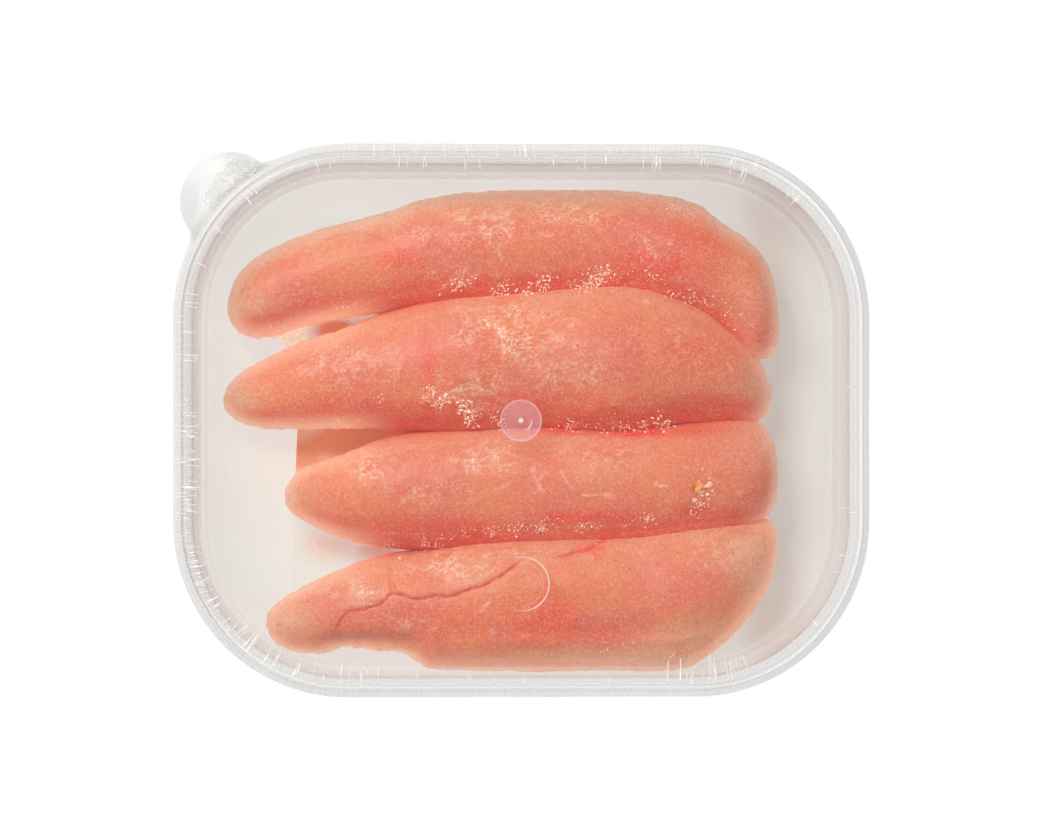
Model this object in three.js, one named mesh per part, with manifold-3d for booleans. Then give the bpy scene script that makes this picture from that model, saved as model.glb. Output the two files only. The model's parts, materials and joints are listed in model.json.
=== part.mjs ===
// A shut, clear polypropylene tub of salted pollock roe, as sold chilled: the tub, its press-on lid
// with a pull tab at one corner, a shrink film band round the rim, an absorbent sheet on the floor and
// four roe sacs that lie side by side on it.
//
// Millimetres. The origin is under the middle of the foot. +X runs along the tub's long side, +Y
// towards the first sac and +Z up. Seen from above with +Y away, the pull tab is at the far left.
import * as THREE from "three";
import { mergeVertices } from "three/addons/utils/BufferGeometryUtils.js";
import Module from "manifold-3d";

const wasm = await Module();
wasm.setup();

const { degToRad, radToDeg, lerp, mapLinear, seededRandom } = THREE.MathUtils;

// The lid. An inset is how far a point of a wall lies inside the lid's outline.
const LID_HALF_X = 75.0;
const LID_HALF_Y = 59.4;
const LID_CORNER_RADIUS = 37.6;
const LID_WALL = 0.5;
const RIM_TOP = 34.0;
const RIM_WIDTH = 2.3;
const RIM_ROUNDING = 0.4;
const SKIRT_FOOT = 26.6;
const SKIRT_LEAN = 1.7;
const BEAD_REACH = 0.5;
const PANEL_DROP = 3.2;
const PLUG_LEAN = 1.4;

// The pull tab is a disc on the diagonal of one corner, joined to the bead by small fillets.
const TAB_RADIUS = 10.8;
const TAB_OFFSET = 36.6;
const TAB_THICKNESS = 0.8;
const TAB_EDGE_STEPS = 8;
const TAB_EDGE_SPAN = 80;
const TAB_FILLET = [[16.9, 0.9], [19.5, 0.2]]; // degrees from the diagonal, and the reach there

// Plain moulding marks on the lid's panel.
const GATE_RADIUS = 4.6;
const GATE_DEPTH = 0.35;
const GATE_NUB_RADIUS = 1.0;
const MARK_CENTRE = [0.3, -35.6];
const MARK_RINGS = [[6.1, 0.5], [4.8, 0.3]]; // radius and width
const MARK_HEIGHT = 0.2;
const MARK_SIDES = 24;
const NUB_SIDES = 10;

// The tub.
const TUB_WALL = 0.6;
const TUB_DRAFT = Math.tan(degToRad(5));
const LIP_GAP = 0.35;
const FLOOR_FILLET = 8.0;
const FILLET_TURNS = [30, 60, 90]; // degrees up from the floor
const FOOT_HEIGHT = 0.8;
const FOOT_WIDTH = 3.0;
const FOOT_SETBACK = 0.5;
const FOOT_SLOPE = 0.3;

// The shrink film band, its inner face a small gap off what it covers.
const FILM_THICKNESS = 0.25;
const FILM_GAP = 0.25;
const FILM_OVERHANG = 1.2;
const FILM_FOOT = 16.0;
const FILM_TUCK = 3.0; // drop from the lid's skirt to where the film meets the tub's wall
const FILM_TENT_SHARE = 0.45; // over the tab the film sags at this share of the tab's reach
const FILM_TENT_RISE = 1.6;

// The absorbent sheet. Its front edge climbs the fillet in front, and its left edge lies askew.
const SHEET_THICKNESS = 0.6;
const SHEET_LEFT = [-47.4, -51.0]; // x at the back edge and at the front edge
const SHEET_RIGHT = 60.6;
const SHEET_BACK = 46.0;

// Clear space between pieces.
const REST_GAP = 0.1;
const CONTACT_GAP = 0.3;

// The roe sacs, from the back one to the front one. upper and lower are the edges of a sac seen from
// above, with the +Y edge as upper: its points [x, y] run from the left tip to the right tip, and the
// lower edge shares the tips. A groove is a fold in the top, and frost a line that crystals lie along.
const SACS = [
  {
    name: "roe_sac_1",
    height: 23,
    upper: [
      [-64.6, 25.6], [-61.8, 32.3], [-57.3, 36.3], [-44, 42.1], [-30.7, 45.4], [-21.8, 48.6], [-12.9, 50.1],
      [9.3, 50.9], [27, 50.5], [40.4, 47.8], [45.9, 42.9], [51, 40.1], [55.4, 34.1], [57.4, 26.8], [58.2, 19],
    ],
    lower: [
      [-62.9, 20.5], [-58.4, 18.5], [-44, 22], [-26.2, 25.2], [-4, 26.7], [22.6, 27.6], [40.4, 23.8],
      [49.2, 17], [53.2, 13.6], [57, 15],
    ],
    grooves: [{ points: [[-41.8, 41], [-37, 41.3], [-32, 40.6], [-27.5, 37.5]], depth: 0.5 }],
    frost: [[[-24, 29.5], [0, 31.5], [26, 32.5], [44, 26.5]]],
    under: ["roe_sac_2"],
  },
  {
    name: "roe_sac_2",
    height: 25.5,
    upper: [
      [-65.5, 4.5], [-63.5, 8.5], [-59.5, 11.6], [-48.4, 17], [-35.1, 21.2], [-17.4, 26.5], [0.4, 28.5],
      [18.2, 30.4], [27, 30.1], [35.9, 27.4], [44.8, 22.5], [51.5, 16.3], [55.4, 9.4], [56.8, 5.4],
    ],
    lower: [
      [-64.9, 2.6], [-61.8, -0.1], [-57.3, -1.4], [-49.5, -1.7], [-26.2, -1.2], [-15.1, -2.1], [4.9, -0.9],
      [18.2, -2.1], [40.4, 0.6], [53.2, 0.6], [55.8, 2.6],
    ],
    grooves: [{ points: [[-20.3, 20.5], [-20.6, 14], [-19.3, 8], [-18.6, 3]], depth: 0.9 }],
    frost: [[[-58, 3.5], [-40, 4], [-22, 3.5], [-8, 3]], [[8, 3.5], [34, 4.5]]],
    under: [],
  },
  {
    name: "roe_sac_3",
    height: 22.5,
    upper: [
      [-51.9, -17.2], [-51, -14.4], [-48.4, -11.4], [-41.8, -9], [-26.2, -3.9], [-4, -1.6], [18, -1.6],
      [40, -1.2], [52.5, -0.6], [56, -3.4], [57.8, -13.2],
    ],
    lower: [
      [-51, -19.6], [-48.4, -21.6], [-39.6, -25.9], [-30.7, -27.2], [-12.9, -27.8], [18, -27.8],
      [35.9, -26.8], [49.2, -24.6], [55.2, -21.6], [57.4, -17.4],
    ],
    grooves: [],
    frost: [[[-30, -20.5], [-10, -22], [12, -19.5], [44, -17.5]]],
    under: ["roe_sac_2", "roe_sac_4"],
  },
  {
    name: "roe_sac_4",
    height: 24.5,
    upper: [
      [-56, -45.2], [-55.1, -42.5], [-48.4, -37.6], [-39.6, -33.4], [-30.7, -30.7], [-17.4, -29.2],
      [-8.5, -26.8], [4.9, -25.4], [22.6, -25.2], [40.4, -22.5], [53.4, -21.6], [57, -23.4], [57.9, -27.6],
    ],
    lower: [
      [-54.6, -48], [-51.8, -50.3], [-44, -51.7], [-36, -51.9], [-27.3, -52.9], [-12, -53.9], [22, -54],
      [38.4, -53.4], [45.2, -49.4], [51.5, -42.5], [55.2, -37.6], [57.4, -31.4],
    ],
    grooves: [
      {
        points: [[-44, -46.4], [-39.6, -44.3], [-35.1, -41.6], [-29.6, -40.2], [-26.2, -38.1], [-21.8, -39.4],
          [-12.9, -38.3], [-6, -35], [-0.4, -31.6]],
        depth: 1.4,
      },
      { points: [[10.4, -30.1], [16, -28.5], [22.6, -26.9]], depth: 1.2 },
    ],
    frost: [[[-42, -39.5], [-30, -35]], [[-24, -45], [10, -45], [36, -38]]],
    under: [],
  },
];
const SAC_STATIONS = 26;
const SAC_SIDES = 18;
const CROWN_POWER = 2.2; // exponent of the section's upper half, 2 for an ellipse
const BELLY_POWER = 3.0; // and of its lower half, which lies flatter
const TAPER_POWER = 0.62; // how fast the height follows the width towards the tips
const TIP_LIFT = 0.22; // share of the height lost to the taper that the underside rises by
const EDGE_SAMPLES = 16; // between two points of an edge
const GROOVE_WIDTH = 2.4;
const GROOVE_FADE = 0.2; // share of the depth left at a groove's ends
const GROOVE_RISE = 0.6; // the cutting wedge stands this share of the depth above the skin
const CRYSTALS_A_SAC = 12;
const CRYSTAL_EDGE = [0.8, 1.4];
const CRYSTAL_SHAPE = [1, 0.8, 0.9];
const CRYSTAL_LIFT = 0.1; // a crystal's middle stands this share of its edge above the skin
const FROST_SPREAD = 1.6;
const FROST_SEED = 7;

const COLOURS = {
  tub: 0xe6e1da,
  lid: 0xefece8,
  film_band: 0xf4f3f1,
  drip_sheet: 0xe9dccb,
  roe_sac_1: 0xe8866a,
  roe_sac_2: 0xea8d70,
  roe_sac_3: 0xe88468,
  roe_sac_4: 0xe37d63,
};
const CLEAR_PLASTIC = { roughness: 0.25, transparent: true, opacity: 0.35 };

// Heights and insets that follow from the driving dimensions.
const FLOOR_TOP = FOOT_HEIGHT + TUB_WALL;
const LIP_TOP = RIM_TOP - LID_WALL - LIP_GAP;
const LIP_INSET = SKIRT_LEAN + LID_WALL + LIP_GAP;
const FILLET_TOP = FLOOR_TOP + FLOOR_FILLET;
const FILLET_INSET = LIP_INSET + TUB_WALL + (LIP_TOP - FILLET_TOP) * TUB_DRAFT;
const FLOOR_INSET = FILLET_INSET + FLOOR_FILLET;
const PANEL_TOP = RIM_TOP - PANEL_DROP;
const PANEL_INSET = SKIRT_LEAN + RIM_WIDTH + PLUG_LEAN;
const SAC_REST = FLOOR_TOP + SHEET_THICKNESS + 2 * REST_GAP;

// Closed skins and booleans

function solidOf(geometry) {
  const bare = geometry.clone();
  for (const name of Object.keys(bare.attributes)) {
    if (name !== "position") bare.deleteAttribute(name);
  }
  const merged = mergeVertices(bare, 1e-4);
  const shape = {
    numProp: 3,
    vertProperties: merged.attributes.position.array,
    triVerts: new Uint32Array(merged.index.array),
  };
  return new wasm.Manifold(new wasm.Mesh(shape));
}

function geometryOf(solid) {
  const mesh = solid.getMesh();
  const geometry = new THREE.BufferGeometry();
  geometry.setAttribute("position", new THREE.BufferAttribute(new Float32Array(mesh.vertProperties), 3));
  geometry.setIndex(new THREE.BufferAttribute(new Uint32Array(mesh.triVerts), 1));
  return geometry.toNonIndexed();
}

// Joins rings of equally many points into one closed skin. A loop of rings closes on itself. Otherwise
// the first and last rings are filled, each from a hub point or from the middle of the ring.
function skin(rings, { loop = false, hubs = [] } = {}) {
  const count = rings[0].length;
  const points = rings.flat();
  const faces = [];
  const links = loop ? rings.length : rings.length - 1;
  for (let r = 0; r < links; r++) {
    const here = r * count;
    const next = ((r + 1) % rings.length) * count;
    for (let i = 0; i < count; i++) {
      const j = (i + 1) % count;
      faces.push(here + i, here + j, next + j, here + i, next + j, next + i);
    }
  }
  if (!loop) {
    const last = (rings.length - 1) * count;
    const first = points.push(hubs[0] ?? middleOf(rings[0])) - 1;
    const final = points.push(hubs[1] ?? middleOf(rings.at(-1))) - 1;
    for (let i = 0; i < count; i++) {
      const j = (i + 1) % count;
      faces.push(j, i, first, last + i, last + j, final);
    }
  }
  const geometry = new THREE.BufferGeometry();
  geometry.setAttribute("position", new THREE.Float32BufferAttribute(points.flat(), 3));
  geometry.setIndex(faces);
  return solidOf(geometry);
}

function middleOf(ring) {
  const sum = ring.reduce((total, point) => total.map((value, k) => value + point[k]), [0, 0, 0]);
  return sum.map((value) => value / ring.length);
}

// The packaging's plan

const CORNER_STEPS = 8;
const CORNER_CENTRE = [LID_HALF_X - LID_CORNER_RADIUS, LID_HALF_Y - LID_CORNER_RADIUS];
const TAB_QUARTER = 90;
const TAB_SIDE_TURNS = [45, 37, 30, 23.5]; // degrees from the diagonal where the tab's corner is plain

// The turns of a plain corner: degrees from its start, and a reach of zero.
function plainTurns() {
  return Array.from({ length: CORNER_STEPS + 1 }, (_, i) => [(90 * i) / CORNER_STEPS, 0]);
}

// The turns of the tab's corner, with the reach of the tab's edge past the lid's outline.
function tabTurns() {
  const half = [...TAB_SIDE_TURNS.map((turn) => [turn, 0]), ...TAB_FILLET.toReversed()];
  const disc = [];
  for (let i = 0; i <= TAB_EDGE_STEPS; i++) {
    const around = degToRad(TAB_EDGE_SPAN * (1 - (2 * i) / TAB_EDGE_STEPS));
    const along = TAB_OFFSET + TAB_RADIUS * Math.cos(around);
    const across = TAB_RADIUS * Math.sin(around);
    disc.push([radToDeg(Math.atan2(across, along)), Math.hypot(along, across) - LID_CORNER_RADIUS]);
  }
  const before = half.map(([turn, reach]) => [45 - turn, reach]);
  const middle = disc.map(([turn, reach]) => [45 - turn, reach]);
  const after = half.toReversed().map(([turn, reach]) => [45 + turn, reach]);
  return [...before, ...middle, ...after];
}

function planStations() {
  const quarters = [[1, 1, 0], [-1, 1, TAB_QUARTER], [-1, -1, 180], [1, -1, 270]];
  const stations = [];
  for (const [sideX, sideY, start] of quarters) {
    const centre = [sideX * CORNER_CENTRE[0], sideY * CORNER_CENTRE[1]];
    const turns = start === TAB_QUARTER ? tabTurns() : plainTurns();
    for (const [turn, reach] of turns) stations.push({ centre, angle: degToRad(start + turn), reach });
  }
  return stations;
}

const STATIONS = planStations();

// One turn round the plan, at an inset and a height. share is how much of the tab's reach it takes in.
function planRing([inset, z, share = 0]) {
  return STATIONS.map(({ centre, angle, reach }) => {
    const radius = LID_CORNER_RADIUS - inset + reach * share;
    return [centre[0] + radius * Math.cos(angle), centre[1] + radius * Math.sin(angle), z];
  });
}

// The tub

function wallInset(z) {
  return LIP_INSET + TUB_WALL + (LIP_TOP - z) * TUB_DRAFT;
}

// A point of the fillet between floor and wall, at an angle up from the floor and a distance off it.
function filletPoint(degrees, off) {
  const radius = FLOOR_FILLET - off;
  const angle = degToRad(degrees);
  return [FLOOR_INSET - radius * Math.sin(angle), FILLET_TOP - radius * Math.cos(angle)];
}

function makeTub() {
  const footOuter = FLOOR_INSET + FOOT_SETBACK;
  const footInner = footOuter + FOOT_WIDTH;
  const outside = [
    [footInner, FOOT_HEIGHT],
    [footInner - FOOT_SLOPE, 0],
    [footOuter + FOOT_SLOPE, 0],
    [footOuter, FOOT_HEIGHT],
    ...FILLET_TURNS.map((turn) => filletPoint(turn, -TUB_WALL)),
    [LIP_INSET, LIP_TOP],
  ];
  const inside = [
    [LIP_INSET + TUB_WALL, LIP_TOP],
    ...FILLET_TURNS.toReversed().map((turn) => filletPoint(turn, 0)),
    [FLOOR_INSET, FLOOR_TOP],
  ];
  return skin([...outside, ...inside].map(planRing));
}

// The lid

function makeLid() {
  const panelFoot = PANEL_TOP - LID_WALL;
  const beadTop = SKIRT_FOOT + TAB_THICKNESS;
  const outline = [
    [PANEL_INSET - LID_WALL, panelFoot],
    [SKIRT_LEAN + RIM_WIDTH - LID_WALL, RIM_TOP - LID_WALL],
    [SKIRT_LEAN + LID_WALL, RIM_TOP - LID_WALL],
    [BEAD_REACH + LID_WALL, SKIRT_FOOT],
    [0, SKIRT_FOOT, 1],
    [0, beadTop, 1],
    [BEAD_REACH, beadTop],
    [SKIRT_LEAN - RIM_ROUNDING, RIM_TOP - RIM_ROUNDING],
    [SKIRT_LEAN + RIM_ROUNDING, RIM_TOP],
    [SKIRT_LEAN + RIM_WIDTH, RIM_TOP],
    [PANEL_INSET, PANEL_TOP + RIM_ROUNDING],
    [PANEL_INSET + RIM_ROUNDING, PANEL_TOP],
  ];
  const shell = skin(outline.map(planRing));
  return addMarks(addGate(shell));
}

// The round gate mark at the panel's middle: a dimple with a nub in it, and a boss below it.
function addGate(shell) {
  const bossTop = PANEL_TOP - LID_WALL / 2;
  const bossFoot = PANEL_TOP - LID_WALL - GATE_DEPTH;
  const boss = disc(GATE_RADIUS + LID_WALL, bossFoot, bossTop, MARK_SIDES);
  const dimple = disc(GATE_RADIUS, PANEL_TOP - GATE_DEPTH, PANEL_TOP + GATE_DEPTH, MARK_SIDES);
  const nub = disc(GATE_NUB_RADIUS, bossTop - GATE_DEPTH, PANEL_TOP + GATE_DEPTH, NUB_SIDES);
  return shell.add(boss).subtract(dimple).add(nub);
}

function addMarks(shell) {
  let marked = shell;
  for (const [radius, width] of MARK_RINGS) {
    const foot = PANEL_TOP - MARK_HEIGHT;
    const top = PANEL_TOP + MARK_HEIGHT;
    const profile = [[radius - width, foot], [radius, foot], [radius, top], [radius - width, top]];
    profile.push(profile[0]);
    const lathe = new THREE.LatheGeometry(profile.map(([r, z]) => new THREE.Vector2(r, z)), MARK_SIDES);
    lathe.rotateX(Math.PI / 2);
    lathe.translate(MARK_CENTRE[0], MARK_CENTRE[1], 0);
    marked = marked.add(solidOf(lathe));
  }
  return marked;
}

function disc(radius, foot, top, sides) {
  const cylinder = new THREE.CylinderGeometry(radius, radius, top - foot, sides);
  cylinder.rotateX(Math.PI / 2);
  cylinder.translate(0, 0, (foot + top) / 2);
  return solidOf(cylinder);
}

// The film band: in over the rim, down the skirt, round the tab and back to the tub's wall

function makeFilmBand() {
  const tubFace = (z) => wallInset(z) - TUB_WALL - FILM_GAP;
  const beadTop = SKIRT_FOOT + TAB_THICKNESS + FILM_GAP;
  const inner = [
    [tubFace(FILM_FOOT), FILM_FOOT],
    [tubFace(SKIRT_FOOT - FILM_TUCK), SKIRT_FOOT - FILM_TUCK],
    [-FILM_GAP, SKIRT_FOOT - FILM_GAP, 1],
    [-FILM_GAP, beadTop, 1],
    [0, beadTop + FILM_TENT_RISE, FILM_TENT_SHARE],
    [SKIRT_LEAN - RIM_ROUNDING - FILM_GAP, RIM_TOP - RIM_ROUNDING],
    [SKIRT_LEAN, RIM_TOP + FILM_GAP],
    [SKIRT_LEAN + RIM_WIDTH, RIM_TOP + FILM_GAP],
    [SKIRT_LEAN + RIM_WIDTH + FILM_OVERHANG, RIM_TOP - FILM_GAP],
  ];
  const outer = inner.map((_, i) => offsetPoint(inner, i, FILM_THICKNESS));
  return skin([...outer, ...inner.toReversed()].map(planRing), { loop: true });
}

// A point of an upward profile moved out at right angles to the profile's run.
function offsetPoint(profile, index, distance) {
  const [inset, z, share] = profile[index];
  const before = profile[Math.max(index - 1, 0)];
  const after = profile[Math.min(index + 1, profile.length - 1)];
  const run = [before[0] - after[0], after[1] - before[1]];
  const length = Math.hypot(run[0], run[1]);
  return [inset - (distance * run[1]) / length, z - (distance * run[0]) / length, share];
}

// The absorbent sheet

function makeDripSheet() {
  const foot = FLOOR_TOP + REST_GAP;
  const top = foot + SHEET_THICKNESS;
  const climb = (off) => {
    const [inset, z] = filletPoint(FILLET_TURNS[0], off);
    return [inset - LID_HALF_Y, z];
  };
  const profile = [
    [SHEET_BACK, top],
    [FLOOR_INSET - LID_HALF_Y, top],
    climb(REST_GAP + SHEET_THICKNESS),
    climb(REST_GAP),
    [FLOOR_INSET - LID_HALF_Y, foot],
    [SHEET_BACK, foot],
  ];
  const front = profile[2][0];
  const leftAt = (y) => mapLinear(y, SHEET_BACK, front, SHEET_LEFT[0], SHEET_LEFT[1]);
  const outline = new THREE.Shape(profile.map(([y, z]) => new THREE.Vector2(y, z)));
  const sheet = new THREE.ExtrudeGeometry(outline, { depth: 1, bevelEnabled: false });
  const points = sheet.attributes.position;
  for (let i = 0; i < points.count; i++) {
    const [y, z, along] = [points.getX(i), points.getY(i), points.getZ(i)];
    points.setXYZ(i, lerp(leftAt(y), SHEET_RIGHT, along), y, z);
  }
  return solidOf(sheet).intersect(tubInside(REST_GAP / 2));
}

// The space inside the tub's floor and fillet, kept a distance off them.
function tubInside(off) {
  return skin([0, ...FILLET_TURNS].map((turn) => planRing(filletPoint(turn, off))));
}

// The roe sacs

// The y of a smooth edge at a given x.
function edgeReader(points) {
  const curve = new THREE.CatmullRomCurve3(points.map(([x, y]) => new THREE.Vector3(x, y, 0)));
  const samples = curve.getPoints(points.length * EDGE_SAMPLES);
  return (x) => {
    const next = Math.max(1, samples.findIndex((sample) => sample.x >= x));
    const a = samples[next - 1];
    const b = samples[next];
    return mapLinear(x, a.x, b.x, a.y, b.y);
  };
}

// A sac's section at an x: its middle, half width, height and the level of its underside.
function sacReader(sac) {
  const tips = [sac.upper[0], sac.upper.at(-1)];
  const upper = edgeReader(sac.upper);
  const lower = edgeReader([tips[0], ...sac.lower, tips[1]]);
  const halfWidth = (x) => (upper(x) - lower(x)) / 2;
  const middle = (tips[0][0] + tips[1][0]) / 2;
  const reach = (tips[1][0] - tips[0][0]) / 2;
  const xAt = (share) => middle - reach * Math.cos(Math.PI * share);
  const shares = Array.from({ length: SAC_STATIONS }, (_, i) => (i + 0.5) / SAC_STATIONS);
  const widest = Math.max(...shares.map((share) => halfWidth(xAt(share))));
  const section = (x) => {
    const half = halfWidth(x);
    const height = sac.height * (half / widest) ** TAPER_POWER;
    return { y: (upper(x) + lower(x)) / 2, half, height, foot: SAC_REST + (sac.height - height) * TIP_LIFT };
  };
  return { tips, xs: shares.map(xAt), section };
}

// The top of a section at a distance to the side of its middle.
function crownAt({ half, height, foot }, side) {
  const share = Math.min(Math.abs(side) / half, 1);
  return foot + (height / 2) * (1 + (1 - share ** CROWN_POWER) ** (1 / CROWN_POWER));
}

function superellipse(value, power) {
  return Math.sign(value) * Math.abs(value) ** (2 / power);
}

// The plain body of a sac, grown on all sides by a margin.
function sacBody(sac, margin) {
  const { tips, xs, section } = sacReader(sac);
  const rings = xs.map((x) => {
    const { y, half, height, foot } = section(x);
    return Array.from({ length: SAC_SIDES }, (_, i) => {
      const angle = (2 * Math.PI * i) / SAC_SIDES;
      const power = Math.sin(angle) > 0 ? CROWN_POWER : BELLY_POWER;
      const side = (half + margin) * superellipse(Math.cos(angle), power);
      const rise = (height / 2 + margin) * superellipse(Math.sin(angle), power);
      return [x, y + side, foot + height / 2 + rise];
    });
  });
  const ends = [[tips[0], xs[0], -margin], [tips[1], xs.at(-1), margin]];
  const hubs = ends.map(([[x, y], nearest, off]) => {
    const { height, foot } = section(nearest);
    return [x + off, y, foot + height / 2];
  });
  return skin(rings, { hubs });
}

// A wedge to cut a fold into a sac's top along a line.
function grooveCutter(sac, { points, depth }) {
  const { section } = sacReader(sac);
  const rings = points.map(([x, y], i) => {
    const before = points[Math.max(i - 1, 0)];
    const after = points[Math.min(i + 1, points.length - 1)];
    const along = new THREE.Vector2(after[0] - before[0], after[1] - before[1]).normalize();
    const here = section(x);
    const top = crownAt(here, y - here.y);
    const ends = i === 0 || i === points.length - 1;
    const cut = ends ? depth * GROOVE_FADE : depth;
    const half = GROOVE_WIDTH / 2;
    const rise = depth * GROOVE_RISE;
    return [
      [x, y, top - cut],
      [x - along.y * half, y + along.x * half, top + rise],
      [x + along.y * half, y - along.x * half, top + rise],
    ];
  });
  return skin(rings);
}

// Salt and ice crystals scattered along the frost lines, each sunk by about half into the sac.
function addCrystals(body, sac) {
  const { section } = sacReader(sac);
  const perLine = Math.ceil(CRYSTALS_A_SAC / sac.frost.length);
  let frosted = body;
  for (const line of sac.frost) {
    const curve = new THREE.CatmullRomCurve3(line.map(([x, y]) => new THREE.Vector3(x, y, 0)));
    for (let i = 0; i < perLine; i++) {
      const spot = curve.getPointAt((i + seededRandom()) / perLine);
      const y = spot.y + FROST_SPREAD * (seededRandom() * 2 - 1);
      const edge = lerp(CRYSTAL_EDGE[0], CRYSTAL_EDGE[1], seededRandom());
      const here = section(spot.x);
      const crystal = new THREE.BoxGeometry(...CRYSTAL_SHAPE.map((share) => share * edge));
      crystal.rotateX(seededRandom() * Math.PI);
      crystal.rotateZ(seededRandom() * Math.PI);
      crystal.translate(spot.x, y, crownAt(here, y - here.y) + edge * CRYSTAL_LIFT);
      frosted = frosted.add(solidOf(crystal));
    }
  }
  return frosted;
}

function makeSac(sac) {
  let body = sacBody(sac, 0);
  for (const groove of sac.grooves) body = body.subtract(grooveCutter(sac, groove));
  body = addCrystals(body, sac);
  for (const name of sac.under) {
    const neighbour = SACS.find((other) => other.name === name);
    body = body.subtract(sacBody(neighbour, CONTACT_GAP));
  }
  return body;
}

// The assembly

seededRandom(FROST_SEED);

const solids = { tub: makeTub(), lid: makeLid(), film_band: makeFilmBand(), drip_sheet: makeDripSheet() };
for (const sac of SACS) solids[sac.name] = makeSac(sac);

const packaging = ["tub", "lid", "film_band"];
const group = new THREE.Group();
for (const [name, solid] of Object.entries(solids)) {
  const looks = packaging.includes(name) ? CLEAR_PLASTIC : { roughness: 0.45 };
  const material = new THREE.MeshStandardMaterial({ color: COLOURS[name], metalness: 0, ...looks });
  const mesh = new THREE.Mesh(geometryOf(solid), material);
  mesh.name = name;
  group.add(mesh);
}

export default group;
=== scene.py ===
# %% [markdown]
# # A shut tub of salted pollock roe
#
# The real thing is a clear polypropylene tub with a press-on lid, a band of shrink film round the rim,
# an absorbent sheet on the floor and four roe sacs, side by side, with salt and ice on them.
#
# The solids that carry the true sizes are already there: the frame. This lesson dresses them. Each
# piece is modelled in place, in metres, and then takes the place of the solid it stands for, which is
# hidden.

# %% Load the frame
import json
import math
import random

import bmesh
import bpy
import numpy as np
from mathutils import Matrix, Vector, noise
from mathutils.bvhtree import BVHTree

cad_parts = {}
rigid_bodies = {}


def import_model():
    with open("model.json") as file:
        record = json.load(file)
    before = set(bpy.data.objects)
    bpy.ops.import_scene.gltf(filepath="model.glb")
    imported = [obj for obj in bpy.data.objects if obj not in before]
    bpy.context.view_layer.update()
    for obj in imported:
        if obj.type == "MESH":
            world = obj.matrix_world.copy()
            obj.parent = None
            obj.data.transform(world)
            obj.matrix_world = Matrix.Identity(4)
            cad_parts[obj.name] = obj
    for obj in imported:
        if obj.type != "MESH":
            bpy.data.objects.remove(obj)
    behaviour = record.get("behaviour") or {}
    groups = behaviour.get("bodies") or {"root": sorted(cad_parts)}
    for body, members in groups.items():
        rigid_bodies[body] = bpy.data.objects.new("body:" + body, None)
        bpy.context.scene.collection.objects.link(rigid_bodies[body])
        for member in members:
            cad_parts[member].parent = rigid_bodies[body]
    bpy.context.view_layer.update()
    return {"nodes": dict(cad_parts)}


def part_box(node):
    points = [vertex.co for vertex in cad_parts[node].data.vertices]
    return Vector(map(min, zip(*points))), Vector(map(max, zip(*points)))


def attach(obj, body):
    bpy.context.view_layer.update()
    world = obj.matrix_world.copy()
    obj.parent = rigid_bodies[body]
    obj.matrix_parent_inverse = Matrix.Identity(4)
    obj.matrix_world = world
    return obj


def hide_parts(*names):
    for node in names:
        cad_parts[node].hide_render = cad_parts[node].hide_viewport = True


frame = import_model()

MM = 0.001
# points closer than this many millimetres are one and the same
SAME_POINT = 0.001

# %% [markdown]
# ## A few tools of the trade
#
# An operator works on everything that is selected, and loading the frame leaves its nodes selected. So
# each step starts by selecting nothing. More helpers turn a finished modifier into plain mesh, shade a
# piece smooth, turn its faces outward, and hand it to the frame: it gets its finish, rides on the root
# body and hides the node it replaces.


# %% Helpers for operators and pieces
def select_only(*things):
    """Select these objects and nothing else, with the first of them active."""
    if bpy.context.object and bpy.context.object.mode != "OBJECT":
        bpy.ops.object.mode_set(mode="OBJECT")
    bpy.ops.object.select_all(action="DESELECT")
    for thing in things:
        thing.select_set(True)
    if things:
        bpy.context.view_layer.objects.active = things[0]


def apply_modifier(piece, kind, **settings):
    """Add a modifier with these settings and turn it into plain mesh."""
    select_only(piece)
    bpy.ops.object.modifier_add(type=kind)
    modifier = piece.modifiers[-1]
    for name, value in settings.items():
        setattr(modifier, name, value)
    bpy.ops.object.modifier_apply(modifier=modifier.name)


def smooth(piece, degrees=40):
    """Shade round surfaces as round, and keep edges sharper than this angle crisp."""
    select_only(piece)
    bpy.ops.object.shade_smooth_by_angle(angle=math.radians(degrees))


def face_outward(piece, merge=0.0):
    """Merge points closer than this many millimetres, if asked to, and turn all faces outward."""
    select_only(piece)
    bpy.ops.object.mode_set(mode="EDIT")
    bpy.ops.mesh.select_all(action="SELECT")
    if merge:
        bpy.ops.mesh.remove_doubles(threshold=merge * MM)
        bpy.ops.mesh.select_all(action="SELECT")
    bpy.ops.mesh.normals_make_consistent(inside=False)
    bpy.ops.object.mode_set(mode="OBJECT")


def hand_over(piece, node, finish):
    """Give the piece its finish, hang it on the root body and hide the node of the frame that it stands for.
    """
    piece.data.materials.clear()
    piece.data.materials.append(finish)
    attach(piece, "root")
    if node:
        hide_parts(node)
    print(piece.name, len(piece.data.vertices), "points", len(piece.data.polygons), "faces")


# %% [markdown]
# ## The camera
#
# The tub was photographed from straight above, with a long lens. The right-hand rim looks a little
# wider than the left, so the lens stood some centimetres to the left of the middle and was aimed at
# the middle. The lens length follows from the width that the picture shows at the height of the rim.

# %% Camera
PICTURE_SIZE = (1040, 840)
PIXEL_AT_RIM = 0.21664 * MM
CAMERA_RISE = 850 * MM
CAMERA_LEFT = 30 * MM
AIM = Vector((-0.3 * MM, 0.1 * MM, 34 * MM))
SENSOR = 36.0

bpy.ops.object.camera_add()
camera = bpy.context.object
camera.name = "camera"
camera.data.sensor_width = SENSOR
camera.data.lens = SENSOR * CAMERA_RISE / (PICTURE_SIZE[0] * PIXEL_AT_RIM)
camera.data.dof.use_dof = False
camera.location = AIM + Vector((-CAMERA_LEFT, 0, CAMERA_RISE))
camera.rotation_euler = (0, -math.atan2(CAMERA_LEFT, CAMERA_RISE), 0)
bpy.context.scene.camera = camera
print("lens", round(camera.data.lens, 1), "mm")

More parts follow.
